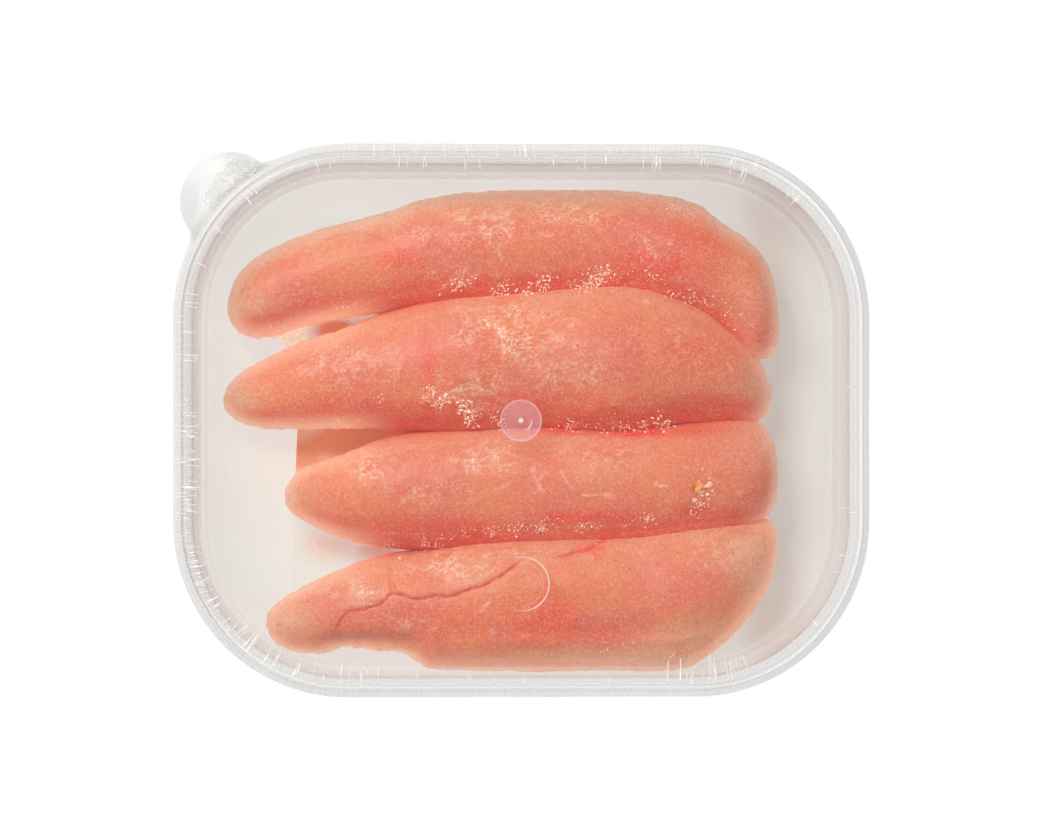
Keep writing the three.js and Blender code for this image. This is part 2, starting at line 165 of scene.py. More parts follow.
# %% [markdown]
# ## Light and ground
#
# A pack shot stands on white and is lit by large soft boxes. The ground here is a plane that gives off
# plain white and takes no shadow, as a light table does, so that the clear plastic isn't darkened from
# below. The main soft box hangs at the back left, a small one beside it puts sparks on the film's
# pleats, a weak one at the right lifts the shadows, and a grey sky fills in the rest.

# %% Studio
WHITE = (1.0, 1.0, 1.0, 1.0)


def soft_box(name, place, target, size, power):
    """A square area light at a place, aimed at a target."""
    bpy.ops.object.light_add(type="AREA", location=place)
    light = bpy.context.object
    light.name = name
    light.data.shape = "SQUARE"
    light.data.size = size
    light.data.energy = power
    light.rotation_euler = (Vector(target) - Vector(place)).to_track_quat("-Z", "Y").to_euler()
    return light


select_only()
MIDDLE = (0, 0, 0.015)
soft_box("soft_box_left", (-0.30, 0.34, 0.60), MIDDLE, 0.30, 2.75)
soft_box("spark_box", (-0.16, 0.26, 0.62), MIDDLE, 0.05, 0.6)
soft_box("soft_box_right", (0.55, 0.1, 0.75), MIDDLE, 0.45, 0.3)
bpy.context.scene.world = bpy.data.worlds.new("studio")
bpy.context.scene.world.use_nodes = True
sky = bpy.context.scene.world.node_tree.nodes["Background"]
sky.inputs["Color"].default_value = WHITE
sky.inputs["Strength"].default_value = 0.5
bpy.context.scene.view_settings.view_transform = "Standard"
bpy.context.scene.view_settings.look = "None"
bpy.context.scene.view_settings.exposure = 0.0

bpy.ops.mesh.primitive_plane_add(size=4.0, location=(0, 0, -0.05 * MM))
floor = bpy.context.object
floor.name = "floor"

# %% [markdown]
# ## Shader maths as plain expressions
#
# Finishes are built from nodes. Written out, node by node, they are hard to read, so a small class
# wraps a socket and adds the Math node when two values are added or multiplied in the code.


# %% A socket that can be calculated with
class Wire:
    """A socket of a material. An expression on wires adds the Math nodes that work it out."""

    def __init__(self, finish, socket):
        self.finish = finish
        self.socket = socket

    def _math(self, operation, *values):
        return self.finish.node("ShaderNodeMath", {"operation": operation}, dict(enumerate(values)))

    def __add__(self, other):
        return self._math("ADD", self, other)

    def __sub__(self, other):
        return self._math("SUBTRACT", self, other)

    def __rsub__(self, other):
        return self._math("SUBTRACT", other, self)

    def __mul__(self, other):
        return self._math("MULTIPLY", self, other)

    def __pow__(self, other):
        return self._math("POWER", self, other)

    def __abs__(self):
        return self._math("ABSOLUTE", self)

    def above(self, floor):
        """No lower than this."""
        return self._math("MAXIMUM", self, floor)

    def clamp(self):
        """Kept between nought and one."""
        wire = self._math("ADD", self, 0.0)
        wire.socket.node.use_clamp = True
        return wire


print("wires can be added, multiplied, raised to a power and clamped")

# %% [markdown]
# A finish is a material whose Principled shader is fed with values or wires. The methods below add the
# nodes that come up again and again: the place on the object, a value that the mesh carries, cloudy
# noise, a colour ramp, a soft step, a band, a blend of two colours and a bump.


# %% A finish
class Finish:
    """A material in the making, with a Principled shader that its values go to."""

    def __init__(self, name, **values):
        self.material = bpy.data.materials.new(name)
        self.material.use_nodes = True
        self.nodes = self.material.node_tree.nodes
        self.links = self.material.node_tree.links
        self.shader = self.nodes["Principled BSDF"]
        for socket, value in values.items():
            self.set(socket.replace("_", " "), value)

    def set(self, socket, value):
        """Give a socket of the Principled shader a value or a wire."""
        self._feed(self.shader.inputs[socket], value)

    def _feed(self, socket, value):
        if isinstance(value, Wire):
            self.links.new(value.socket, socket)
        else:
            socket.default_value = value

    def node(self, kind, settings=None, values=None, output=0):
        """Add a node of a kind: first its settings, then values or wires for its sockets."""
        made = self.nodes.new(kind)
        for name, value in (settings or {}).items():
            if name == "stops":
                for stop, (place, colour) in zip(stops_of(made, len(value)), value):
                    stop.position = place
                    stop.color = colour
            else:
                setattr(made, name, value)
        for socket, value in (values or {}).items():
            self._feed(made.inputs[socket], value)
        return Wire(self, made.outputs[output])

    def place(self):
        """Where a point is on the object, in metres."""
        return self.node("ShaderNodeTexCoord", output="Object")

    def axis(self, name):
        """One of the three numbers of the place, in millimetres."""
        parts = self.node("ShaderNodeSeparateXYZ", None, {0: self.place()}, output=name)
        return parts * (1 / MM)

    def attribute(self, name):
        """A value that the mesh carries at each point."""
        return self.node("ShaderNodeAttribute", {"attribute_name": name}, output="Fac")

    def colour(self, name):
        """A colour that the mesh carries at each point."""
        return self.node("ShaderNodeAttribute", {"attribute_name": name}, output="Color")

    def noise(self, scale, detail=3.0, roughness=0.5, place=None):
        """Soft cloudy noise, about one blob for each 1/scale metres."""
        values = {"Vector": place or self.place(), "Scale": scale, "Detail": detail, "Roughness": roughness}
        return self.node("ShaderNodeTexNoise", None, values)

    def ramp(self, wire, *stops):
        """Run a value through a colour ramp."""
        return self.node("ShaderNodeValToRGB", {"stops": stops}, {"Fac": wire})

    def step(self, wire, low, high):
        """Nought below low, one above high, and smooth between."""
        settings = {"interpolation_type": "SMOOTHSTEP"}
        return self.node("ShaderNodeMapRange", settings, {"Value": wire, "From Min": low, "From Max": high})

    def band(self, wire, low, high, soft):
        """One between low and high, and nought a soft step outside."""
        return self.step(wire, low - soft, low) * (1 - self.step(wire, high, high + soft))

    def mix(self, share, first, second):
        """Blend two colours, the second one by its share."""
        settings = {"data_type": "RGBA"}
        return self.node("ShaderNodeMix", settings, {0: share, 6: first, 7: second}, output=2)

    def bump(self, height, distance, strength=1.0):
        """Let a height in metres per unit catch the light."""
        self.set("Normal", self.node("ShaderNodeBump", None,
                                     {"Height": height, "Distance": distance, "Strength": strength}))


def stops_of(ramp, count):
    """The stops of a ramp node, with as many of them as are wanted."""
    stops = ramp.color_ramp.elements
    while len(stops) < count:
        stops.new(1.0)
    return stops


def rgb(red, green, blue):
    """A screen colour, 0 to 255, as the linear colour that a shader takes."""
    shares = [value / 255 for value in (red, green, blue)]
    return tuple(s / 12.92 if s <= 0.04045 else ((s + 0.055) / 1.055) ** 2.4 for s in shares) + (1.0,)


# %% [markdown]
# The ground is the first finish. Its base is black and it doesn't shine, so no shadow shows on it: all
# its light is its own plain white.

# %% Ground finish
BLACK = (0.0, 0.0, 0.0, 1.0)
ground = Finish("ground", Base_Color=BLACK, Specular_IOR_Level=0.0, Emission_Color=WHITE,
                Emission_Strength=1.0)
floor.data.materials.append(ground.material)
print("ground", ground.material.name)

# %% [markdown]
# ## Sweeping a wall round the tub
#
# Tub and lid have one plan: a rectangle with very round corners. Their walls could be lofted from ring
# to ring, or bent from a strip. Here the wall's section is drawn once, as a chain of edges, and swept:
# spun a quarter turn at each corner and pushed straight along each side. Every wall then keeps its
# true thickness in the corners too.

# %% The plan, and the sweep
lid_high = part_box("lid")[1]
HALF_X = lid_high[0]
HALF_Y = lid_high[1]
CORNER_RADIUS = 37.6 * MM
CORNER_X = HALF_X - CORNER_RADIUS
CORNER_Y = HALF_Y - CORNER_RADIUS
CORNER_STEPS = 28


def start_chain(name, section):
    """The wall's section as a chain of edges, standing at the start of the right-hand back corner."""
    select_only()
    bpy.ops.mesh.primitive_circle_add(vertices=len(section), fill_type="NOTHING")
    piece = bpy.context.object
    piece.name = name
    for vertex, (inset, height) in zip(piece.data.vertices, section):
        vertex.co = (HALF_X - inset * MM, CORNER_Y, height * MM)
    last = len(section) - 1
    for edge in piece.data.edges:
        edge.select = set(edge.vertices) == {0, last}
    for vertex in piece.data.vertices:
        vertex.select = vertex.index in (0, last)
    bpy.ops.object.mode_set(mode="EDIT")
    bpy.ops.mesh.select_mode(type="EDGE")
    bpy.ops.mesh.delete(type="EDGE")
    return piece


def sweep(name, section):
    """Sweep a section, a list of (inset, height) in millimetres, into a closed shell."""
    piece = start_chain(name, section)
    bpy.ops.mesh.select_all(action="SELECT")
    corners = [(CORNER_X, CORNER_Y), (-CORNER_X, CORNER_Y), (-CORNER_X, -CORNER_Y), (CORNER_X, -CORNER_Y)]
    for index, (x, y) in enumerate(corners):
        bpy.ops.mesh.spin(steps=CORNER_STEPS, angle=math.pi / 2, center=(x, y, 0), axis=(0, 0, -1))
        next_x, next_y = corners[(index + 1) % 4]
        push = {"value": (next_x - x, next_y - y, 0)}
        bpy.ops.mesh.extrude_region_move(TRANSFORM_OT_translate=push)
    bpy.ops.mesh.select_all(action="SELECT")
    bpy.ops.mesh.remove_doubles(threshold=0.01 * MM)
    bpy.ops.mesh.select_all(action="SELECT")
    bpy.ops.mesh.fill_holes(sides=0)
    bpy.ops.mesh.select_all(action="SELECT")
    bpy.ops.mesh.normals_make_consistent(inside=False)
    bpy.ops.object.mode_set(mode="OBJECT")
    return piece


def round_edges(piece, width, segments=2, degrees=30):
    """Give every edge sharper than this angle a small radius, and shade the piece smooth."""
    apply_modifier(piece, "BEVEL", width=width * MM, segments=segments, limit_method="ANGLE",
                   angle_limit=math.radians(degrees), harden_normals=False)
    smooth(piece, 35)


# %% [markdown]
# ## The tub
#
# The tub is thin: a wall of 0.6 mm that leans out by five degrees, a generous fillet down to the
# floor and a foot ring to stand on. The section runs up the outside and back down the inside, and the
# two holes that are left at its ends become the floor's underside and the floor's top.

# %% Tub
TUB_WALL = 0.6
LIP = (2.55, 33.15)
FLOOR_FILLET = 8.0
FLOOR_TOP = 1.4
FLOOR_INSET = 13.23
FOOT_RING = [(16.73, 0.8), (16.43, 0.0), (14.03, 0.0), (13.73, 0.8)]
FILLET_TURNS = range(10, 91, 10)


def fillet_point(degrees, off):
    """A point of the fillet between floor and wall, seen as an angle up from the floor."""
    turn = math.radians(degrees)
    radius = FLOOR_FILLET - off
    return (FLOOR_INSET - radius * math.sin(turn), FLOOR_TOP + FLOOR_FILLET - radius * math.cos(turn))


outside = FOOT_RING + [fillet_point(turn, -TUB_WALL) for turn in FILLET_TURNS] + [LIP]
inside = [(LIP[0] + TUB_WALL, LIP[1])] + [fillet_point(turn, 0) for turn in reversed(FILLET_TURNS)]
tub = sweep("tub_shell", outside + inside + [(FLOOR_INSET, FLOOR_TOP)])
round_edges(tub, 0.12)
print("tub", [round(side / MM, 1) for side in tub.dimensions], "mm")

# %% [markdown]
# ## The lid
#
# The lid presses over the lip: a skirt outside, a flat rim on top, a short plug wall inside and the
# sunken panel that the roe is seen through. It is the same sweep with another section.

# %% Lid
LID_SECTION = [
    (4.9, 30.3), (3.5, 33.5), (2.2, 33.5), (1.0, 26.6), (0.0, 26.6), (0.0, 27.4),
    (0.5, 27.4), (1.3, 33.6), (2.1, 34.0), (4.0, 34.0), (5.4, 31.2), (5.8, 30.8),
]
PANEL_TOP = 30.8
lid = sweep("lid_shell", LID_SECTION)
print("lid", [round(side / MM, 1) for side in lid.dimensions], "mm")

# %% [markdown]
# The pull tab is a flat lobe at the back left corner, in one piece with the bead at the skirt's foot.
# Its outline is part of a disc that runs out into the corner with two small fillets. The same curve is
# needed again for the film that is shrunk over it, so it is written once, as a reach past the corner.

# %% Pull tab
TAB_RADIUS = 10.8
TAB_OFFSET = 36.6
TAB_EDGE = 15.45
TAB_FOOT = 23.5
TAB_FILLET_POWER = 4.2
TAB_ROOT_REACH = -0.6
R = CORNER_RADIUS / MM


def tab_reach(degrees):
    """How far, in mm, the tab reaches past the corner at this angle from the corner's diagonal."""
    off = abs(degrees)
    if off >= TAB_FOOT:
        return 0.0
    if off > TAB_EDGE:
        share = (TAB_FOOT - off) / (TAB_FOOT - TAB_EDGE)
        return tab_reach(TAB_EDGE) * share ** TAB_FILLET_POWER
    turn = math.radians(off)
    return TAB_OFFSET * math.cos(turn) + math.sqrt(TAB_RADIUS ** 2 - (TAB_OFFSET * math.sin(turn)) ** 2) - R


def tab_turns():
    """The angles that the tab's edge is drawn at: close together where it turns fast."""
    middle = [math.radians(around) for around in range(-80, 81, 4)]
    disc = [math.atan2(TAB_RADIUS * math.sin(a), TAB_OFFSET + TAB_RADIUS * math.cos(a)) for a in middle]
    foot = [TAB_EDGE + (TAB_FOOT - TAB_EDGE) * step / 8 for step in range(1, 9)]
    return [-turn for turn in reversed(foot)] + [math.degrees(turn) for turn in disc] + foot


def corner_point(degrees, reach, height):
    """A point at an angle from the tab corner's diagonal and a reach past the corner's outline."""
    turn = math.radians(135 - degrees)
    radius = (R + reach) * MM
    return (-CORNER_X + radius * math.cos(turn), CORNER_Y + radius * math.sin(turn), height * MM)


TAB_FACES = (26.62, 27.38)
turns = tab_turns()
rim_of_tab = [corner_point(turn, tab_reach(turn), TAB_FACES[0]) for turn in turns]
root_of_tab = [corner_point(turn, TAB_ROOT_REACH, TAB_FACES[0]) for turn in reversed(turns)]
select_only()
bpy.ops.mesh.primitive_circle_add(vertices=2 * len(turns), fill_type="NGON")
tab = bpy.context.object
for vertex, point in zip(tab.data.vertices, rim_of_tab + root_of_tab):
    vertex.co = point
bpy.ops.object.mode_set(mode="EDIT")
bpy.ops.mesh.select_all(action="SELECT")
lift = {"value": (0, 0, (TAB_FACES[1] - TAB_FACES[0]) * MM)}
bpy.ops.mesh.extrude_region_move(TRANSFORM_OT_translate=lift)
bpy.ops.mesh.select_all(action="SELECT")
bpy.ops.mesh.normals_make_consistent(inside=False)
bpy.ops.object.mode_set(mode="OBJECT")
apply_modifier(lid, "BOOLEAN", operation="UNION", object=tab, solver="EXACT")
bpy.data.objects.remove(tab)
print("lid with tab", len(lid.data.vertices), "points")

# %% [markdown]
# In the middle of the panel is the gate, where the plastic was injected: a shallow dimple with a nub.
# In front of it two thin rings stand up from the panel. They are turned shapes: a dimple is the
# difference with a disc, and a ring is a torus that is pressed flat and half sunk into the panel.

# %% Gate and ring marks
GATE_RADIUS = 4.6
GATE_DEPTH = 0.35
NUB_RADIUS = 1.0
MARK_CENTRE = (0.3, -35.6)
MARK_RINGS = [(6.1, 0.5), (4.8, 0.3)]
MARK_HEIGHT = 0.2


def combine(piece, tool, operation):
    """Join the tool to the piece, or cut it out, and take the tool away."""
    apply_modifier(piece, "BOOLEAN", operation=operation, object=tool, solver="EXACT")
    bpy.data.objects.remove(tool)


def round_disc(radius, low, high):
    """A flat disc with softened edges, between two heights."""
    select_only()
    bpy.ops.mesh.primitive_cylinder_add(vertices=64, radius=radius * MM, depth=(high - low) * MM,
                                        location=(0, 0, (low + high) / 2 * MM))
    disc = bpy.context.object
    bpy.ops.object.transform_apply(location=True)
    apply_modifier(disc, "BEVEL", width=0.12 * MM, segments=3, limit_method="ANGLE")
    return disc


combine(lid, round_disc(GATE_RADIUS + 0.5, PANEL_TOP - 0.5 - GATE_DEPTH, PANEL_TOP - 0.25), "UNION")
combine(lid, round_disc(GATE_RADIUS, PANEL_TOP - GATE_DEPTH, PANEL_TOP + GATE_DEPTH), "DIFFERENCE")
combine(lid, round_disc(NUB_RADIUS, PANEL_TOP - 0.6, PANEL_TOP + GATE_DEPTH), "UNION")
for radius, width in MARK_RINGS:
    select_only()
    centre = (MARK_CENTRE[0] * MM, MARK_CENTRE[1] * MM, PANEL_TOP * MM)
    bpy.ops.mesh.primitive_torus_add(location=centre, major_radius=(radius - width / 2) * MM,
                                     minor_radius=width / 2 * MM, major_segments=72, minor_segments=10)
    ring = bpy.context.object
    ring.scale[2] = 2 * MARK_HEIGHT / width
    bpy.ops.object.transform_apply(location=True, scale=True)
    combine(lid, ring, "UNION")
round_edges(lid, 0.12)
print("lid with marks", len(lid.data.vertices), "points")

# %% [markdown]
# ## The film band
#
# Shrink film holds the lid down. It starts a little inside the rim, runs over it, down the skirt, out
# round the tab and in again to the tub's wall. Heat shrinks it into hundreds of small radial pleats,
# most of them at the corners, where there is most film to lose. A grid is laid round the plan and its
# points are pushed out along the pleats.

# %% Film band
# inset from the lid's outline and height in mm, and the share of the tab's reach that is added there
FILM_SECTION = [
    (3.8, 16.0, 0.0), (3.14, 23.6, 0.0), (-0.5, 26.3, 1.0), (-0.5, 27.7, 1.0), (-0.25, 29.3, 0.45),
    (1.05, 33.6, 0.0), (1.75, 34.3, 0.0), (4.0, 34.3, 0.0), (5.3, 33.75, 0.0),
]
FILM_SHARES = [
    0, 0.16, 0.31, 0.4, 0.48, 0.52, 0.56, 0.62, 0.7, 0.78, 0.82, 0.85, 0.87, 0.89, 0.91, 0.93, 0.95, 0.965,
    0.98, 1,
]
FILM_ROWS = len(FILM_SHARES)
FILM_STATIONS = 2400
SIDE_X = 2 * CORNER_X / MM
SIDE_Y = 2 * CORNER_Y / MM
ARC = math.pi / 2 * R
ROUND = 2 * (SIDE_X + SIDE_Y) + 4 * ARC


def plan_at(run):
    """The lid's outline after a run in mm from the right-hand corner at the back: point, way out, turn."""
    legs = [("arc", ARC), ("side", SIDE_X), ("arc", ARC), ("side", SIDE_Y)] * 2
    centres = [(1, 1), (-1, 1), (-1, -1), (1, -1)]
    corner = 0
    rest = run % ROUND
    for kind, length in legs:
        if rest <= length:
            break
        rest -= length
        corner += kind == "side"
    sign_x, sign_y = centres[corner % 4]
    turn = math.pi / 2 * corner + (rest / R if kind == "arc" else math.pi / 2)
    way = Vector((math.cos(turn), math.sin(turn)))
    point = Vector((sign_x * SIDE_X / 2, sign_y * SIDE_Y / 2)) + way * R
    if kind == "side":
        point += Vector((-way.y, way.x)) * rest
    return point, way, math.degrees(turn)


def section_at(share):
    """The film's section at a share of its length, with its bends rounded."""
    spots = np.array(FILM_SECTION)
    steps = np.hypot(*np.diff(spots[:, :2], axis=0).T)
    along = np.concatenate([[0], np.cumsum(steps)]) / steps.sum()
    near = np.clip(share + np.linspace(-0.012, 0.012, 5), 0, 1)
    return [float(np.mean(np.interp(near, along, spots[:, column]))) for column in range(3)]


film_rows = [section_at(share) for share in FILM_SHARES]
print("film rows", [tuple(round(v, 1) for v in row) for row in film_rows[::6]])

# %% [markdown]
# The pleats come in groups. Each group has a stretch of the rim, a number of pleats, their width and
# height, and how far in the film's edge hangs there. A seeded random choice places each pleat and says
# from where to where it runs along the section, and how much it slants. Each pleat also gets a share of
# painted white highlight. Between them lie pleats too fine to be shaped: only their painted gleam is
# kept, as a value for each step round the rim.

# %% Pleats
# run from, run to, pleats, half width and height in mm, and how far in the film's edge hangs there in mm
PLEATS = [
    (15.0, 24.0, 5, 0.1, 0.16, 0.3), (30.0, 40.0, 6, 0.1, 0.16, 0.4), (44.0, 58.0, 13, 0.11, 0.22, 0.8),
    (60.0, 71.0, 8, 0.1, 0.16, 0.3), (76.0, 125.0, 12, 0.1, 0.1, 0.2), (134.0, 184.0, 14, 0.1, 0.14, 0.2),
    (186.0, 216.0, 12, 0.1, 0.12, 0.2), (216.0, 237.0, 34, 0.1, 0.2, 0.3),
    (237.0, 262.0, 36, 0.11, 0.26, 0.8), (262.0, 284.0, 26, 0.14, 0.32, 2.6),
    (284.0, 297.0, 8, 0.12, 0.3, 1.8), (297.0, 322.0, 7, 0.1, 0.2, 0.9), (322.0, 360.0, 4, 0.1, 0.1, 0.2),
    (364.0, 384.0, 22, 0.15, 0.34, 3.0), (388.0, 430.0, 6, 0.1, 0.1, 0.4), (430.0, 470.0, 6, 0.1, 0.08, 0.2),
]
RIM_SHARE = 0.84
PLEAT_SIZES = (0.5, 1.1)
PLEAT_SLANT = 4.0
LONG_PLEATS = 0.7
LONG_ENDS = (0.93, 1.03)
SHORT_ENDS = (0.88, 0.95)
FINE_ROWS = (0.5, 0.88)
# how far the film stands off from the lid, in mm: at the right, at the front and back, at the left
SLACK = (1.05, 0.5, 0.1)
# run from, run to and strength of the finest pleats
FINE_PLEATS = [
    (20, 42, 0.25), (42, 136, 0.6), (186, 216, 0.5), (216, 240, 0.65), (240, 300, 0.5),
    (300, 430, 0.12),
]
pleat_random = random.Random(11)
pleats = []
for start, end, count, width, height, hang in PLEATS:
    for _ in range(count):
        size = pleat_random.uniform(*PLEAT_SIZES)
        first = pleat_random.uniform(RIM_SHARE, RIM_SHARE + 0.05)
        ends = LONG_ENDS if pleat_random.random() < LONG_PLEATS else SHORT_ENDS
        last = pleat_random.uniform(*ends)
        slant = pleat_random.uniform(-PLEAT_SLANT, PLEAT_SLANT)
        pleats.append((pleat_random.uniform(start, end), width * size, height * size, first, last, slant))

runs = np.arange(FILM_STATIONS) * ROUND / FILM_STATIONS
shares = np.array(FILM_SHARES)
lift = np.zeros((FILM_STATIONS, FILM_ROWS))
fold = np.zeros((FILM_STATIONS, FILM_ROWS))
for run, width, height, first, last, slant in pleats:
    middle = (first + last) / 2
    along = np.clip(1 - (np.abs(shares - middle) / (0.5 * (last - first) + 0.01)) ** 4, 0, 1)
    off = (runs[:, None] - run - slant * (shares - middle) + ROUND / 2) % ROUND - ROUND / 2
    ridge = np.clip(1 - np.abs(off) / (2 * width), 0, 1) * along
    lift = np.maximum(lift, ridge * height)
    fold = np.maximum(fold, ridge)
# the finest pleats have no shape, only a painted gleam
fine = np.array([pleat_random.random() for _ in runs]) ** 4
strong = sum(strength * ((runs >= start) & (runs < end)) for start, end, strength in FINE_PLEATS)
outer = (shares > FINE_ROWS[0]) & (shares < FINE_ROWS[1])
fold[:, outer] = np.maximum(fold[:, outer], (fine * strong)[:, None])
hang_spots = [((start + end) / 2, hang) for start, end, _, _, _, hang in sorted(PLEATS)]
hang_runs, hang_values = zip(*hang_spots)
hangs = np.interp(runs, hang_runs, hang_values, period=ROUND)
print("pleats", len(pleats), "highest", round(float(lift.max()), 2), "mm")

# %% [markdown]
# The grid has a column for each step round the rim and a row for each step of the section. At two
# corners the film's edge hangs further in over the panel, so its last rows are drawn out there.

# %% Lay the film
HANG_ROWS = 0.94
select_only()
bpy.ops.mesh.primitive_grid_add(x_subdivisions=FILM_STATIONS, y_subdivisions=FILM_ROWS - 1)
film = bpy.context.object
film.name = "film_pleated"
columns = FILM_STATIONS + 1
film_points = np.zeros((len(film.data.vertices), 3))
film_folds = np.zeros(len(film.data.vertices))
stations = [plan_at(run) for run in runs]
for station in range(columns):
    point, way, turn = stations[station % FILM_STATIONS]
    slack = SLACK[0] * max(way.x, 0) + SLACK[1] * abs(way.y) + SLACK[2] * max(-way.x, 0)
    reach = tab_reach(turn - 135) + slack
    for row, (inset, height, share) in enumerate(film_rows):
        before = film_rows[max(row - 1, 0)]
        after = film_rows[min(row + 1, FILM_ROWS - 1)]
        out = Vector((after[1] - before[1], 0, after[0] - before[0])).normalized()
        raised = lift[station % FILM_STATIONS, row]
        folded = fold[station % FILM_STATIONS, row]
        hang = max(shares[row] - HANG_ROWS, 0) / (1 - HANG_ROWS) * hangs[station % FILM_STATIONS]
        hang *= 1 + 0.35 * noise.noise(Vector((point.x * 0.4, point.y * 0.4, 7)))
        base = point + way * (reach * share - inset - hang)
        raised += 0.05 * noise.noise(Vector((base.x * 0.12, base.y * 0.12, height * 0.2)))
        spot = base + way * (out.x * raised)
        index = row * columns + station
        film_points[index] = (spot.x * MM, spot.y * MM, (height + out.z * raised) * MM)
        film_folds[index] = folded
film.data.vertices.foreach_set("co", film_points.ravel())
film.data.attributes.new("fold", "FLOAT", "POINT").data.foreach_set("value", film_folds)
face_outward(film, SAME_POINT)
smooth(film, 30)
print("film", [round(side / MM, 1) for side in film.dimensions], "mm")

# %% [markdown]
# Over the back half of the tab the film isn't taut. It is crumpled, with small facets that glint. A
# separate small grid lies there. Its points follow the tab's outline and are raised by creased noise,
# and its creases get a share of painted white glint.

# %% Crumpled film on the tab
CRUMPLE_GRID = (70, 44)
CRUMPLE_TURNS = (15.5, -6.0)
CRUMPLE_LOW = 27.75
select_only()
bpy.ops.mesh.primitive_grid_add(x_subdivisions=CRUMPLE_GRID[0], y_subdivisions=CRUMPLE_GRID[1])
crumpled = bpy.context.object
crumpled.name = "film_crumpled"
crumple_folds = []
for index, vertex in enumerate(crumpled.data.vertices):
    row, column = divmod(index, CRUMPLE_GRID[0] + 1)
    across = column / CRUMPLE_GRID[0]
    out = row / CRUMPLE_GRID[1]
    turn = CRUMPLE_TURNS[0] + (CRUMPLE_TURNS[1] - CRUMPLE_TURNS[0]) * across
    ragged = 0.35 + 0.6 * (1 - across) + 0.12 * noise.noise(Vector((across * 5, 2, 0)))
    reach = 0.3 + max(tab_reach(turn) - 0.6, 0.1) * min(ragged, 1.0) * out
    x, y, z = corner_point(turn, reach, CRUMPLE_LOW)
    spot = Vector((x, y, 0)) / MM
    wide = 1 - abs(noise.noise(spot * 0.5)) * 2.6
    fine = 1 - abs(noise.noise(spot * 1.5 + Vector((9, 4, 2)))) * 2.2
    crease = max(wide, 0) ** 3 * 0.45 + max(fine, 0) ** 3 * 0.55
    edge = min(out, 1 - out, across, 1 - across) * 6
    vertex.co = (x, y, z + (0.15 + 0.9 * crease * min(edge, 1) + 0.8 * (1 - out)) * MM)
    # the crease share that the finish paints as white glints
    crumple_folds.append(0.1 + min(max((crease - 0.42) * 4.0, 0), 0.9))
crumpled.data.attributes.new("fold", "FLOAT", "POINT").data.foreach_set("value", crumple_folds)
face_outward(crumpled)
smooth(crumpled, 25)
print("crumpled film", [round(side / MM, 1) for side in crumpled.dimensions], "mm")

# %% [markdown]
# ## The drip sheet
#
# An absorbent sheet lies on the floor under the roe. It is cut straight on the left, ends in the round
# corners on the right and climbs the fillet a little in front. A grid takes that outline row by row
# and gets a gentle swell where it is damp. The sheet is far thinner than its swell, so one layer is
# enough.

# %% Drip sheet
SHEET_LEFT = (-47.4, -51.0)
SHEET_RIGHT = 60.6
SHEET_BACK = 46.0
SHEET_FRONT = -49.75
SHEET_LOW = 1.5
SHEET_GRID = (150, 130)


def sheet_inset(y):
    """How far inside the lid's outline the sheet ends, at a distance y from the middle."""
    return min(12.6, HALF_Y / MM + y - 0.1) if y < 0 else 12.6


def sheet_limit(y):
    """The largest x that the tub's round corner leaves to the sheet."""
    radius = R - sheet_inset(y)
    past = abs(y) - SIDE_Y / 2
    if past <= 0:
        return SHEET_RIGHT
    return min(SHEET_RIGHT, SIDE_X / 2 + math.sqrt(max(radius ** 2 - past ** 2, 0.5)))


def sheet_height(y):
    """The sheet's underside: flat on the floor, and up the fillet along the front."""
    climb = -(y + HALF_Y / MM - FLOOR_INSET)
    if climb <= 0:
        return SHEET_LOW
    radius = FLOOR_FILLET - 0.1
    return FLOOR_TOP + FLOOR_FILLET - math.sqrt(radius ** 2 - climb ** 2)


select_only()
bpy.ops.mesh.primitive_grid_add(x_subdivisions=SHEET_GRID[0], y_subdivisions=SHEET_GRID[1])
sheet = bpy.context.object
sheet.name = "sheet_damp"
for index, vertex in enumerate(sheet.data.vertices):
    row, column = divmod(index, SHEET_GRID[0] + 1)
    y = SHEET_FRONT + (SHEET_BACK - SHEET_FRONT) * row / SHEET_GRID[1]
    lean = (SHEET_BACK - y) / (SHEET_BACK - SHEET_FRONT)
    left = SHEET_LEFT[0] + (SHEET_LEFT[1] - SHEET_LEFT[0]) * lean
    limit = sheet_limit(y)
    left = max(left, -limit)
    x = left + (limit - left) * column / SHEET_GRID[0]
    swell = 0.12 * (1 + noise.noise(Vector((x * 0.07, y * 0.07, 3))))
    vertex.co = (x * MM, y * MM, (sheet_height(y) + swell) * MM)
face_outward(sheet)
smooth(sheet, 50)
print("sheet", [round(side / MM, 1) for side in sheet.dimensions], "mm")

# %% [markdown]
# ## Where things are on the sacs
#
# Every small feature of the roe was found in the photograph. One helper turns a point of the picture
# into millimetres at the height of the sacs' tops. Two more say how far a point of the mesh is from a
# line, and how near it is to a set of oval spots, as a value from nought to one that fades out softly.

# %% From the picture to the sacs
PICTURE_MIDDLE = (521.5, 420.5)
CAMERA_HEIGHT = AIM.z / MM + CAMERA_RISE / MM
CAMERA_X = -CAMERA_LEFT / MM


def seen(across, down, height=20.0):
    """A point of the picture as x and y in millimetres at this height."""
    x = (across - PICTURE_MIDDLE[0]) * PIXEL_AT_RIM / MM
    y = (PICTURE_MIDDLE[1] - down) * PIXEL_AT_RIM / MM
    grow = (CAMERA_HEIGHT - height) / (CAMERA_RISE / MM)
    return (CAMERA_X + (x - CAMERA_X) * grow, y * grow)


def fade(distance, reach):
    """One at no distance, nought beyond the reach, with a soft shoulder."""
    share = np.clip(1 - distance / reach, 0, 1)
    return share * share * (3 - 2 * share)


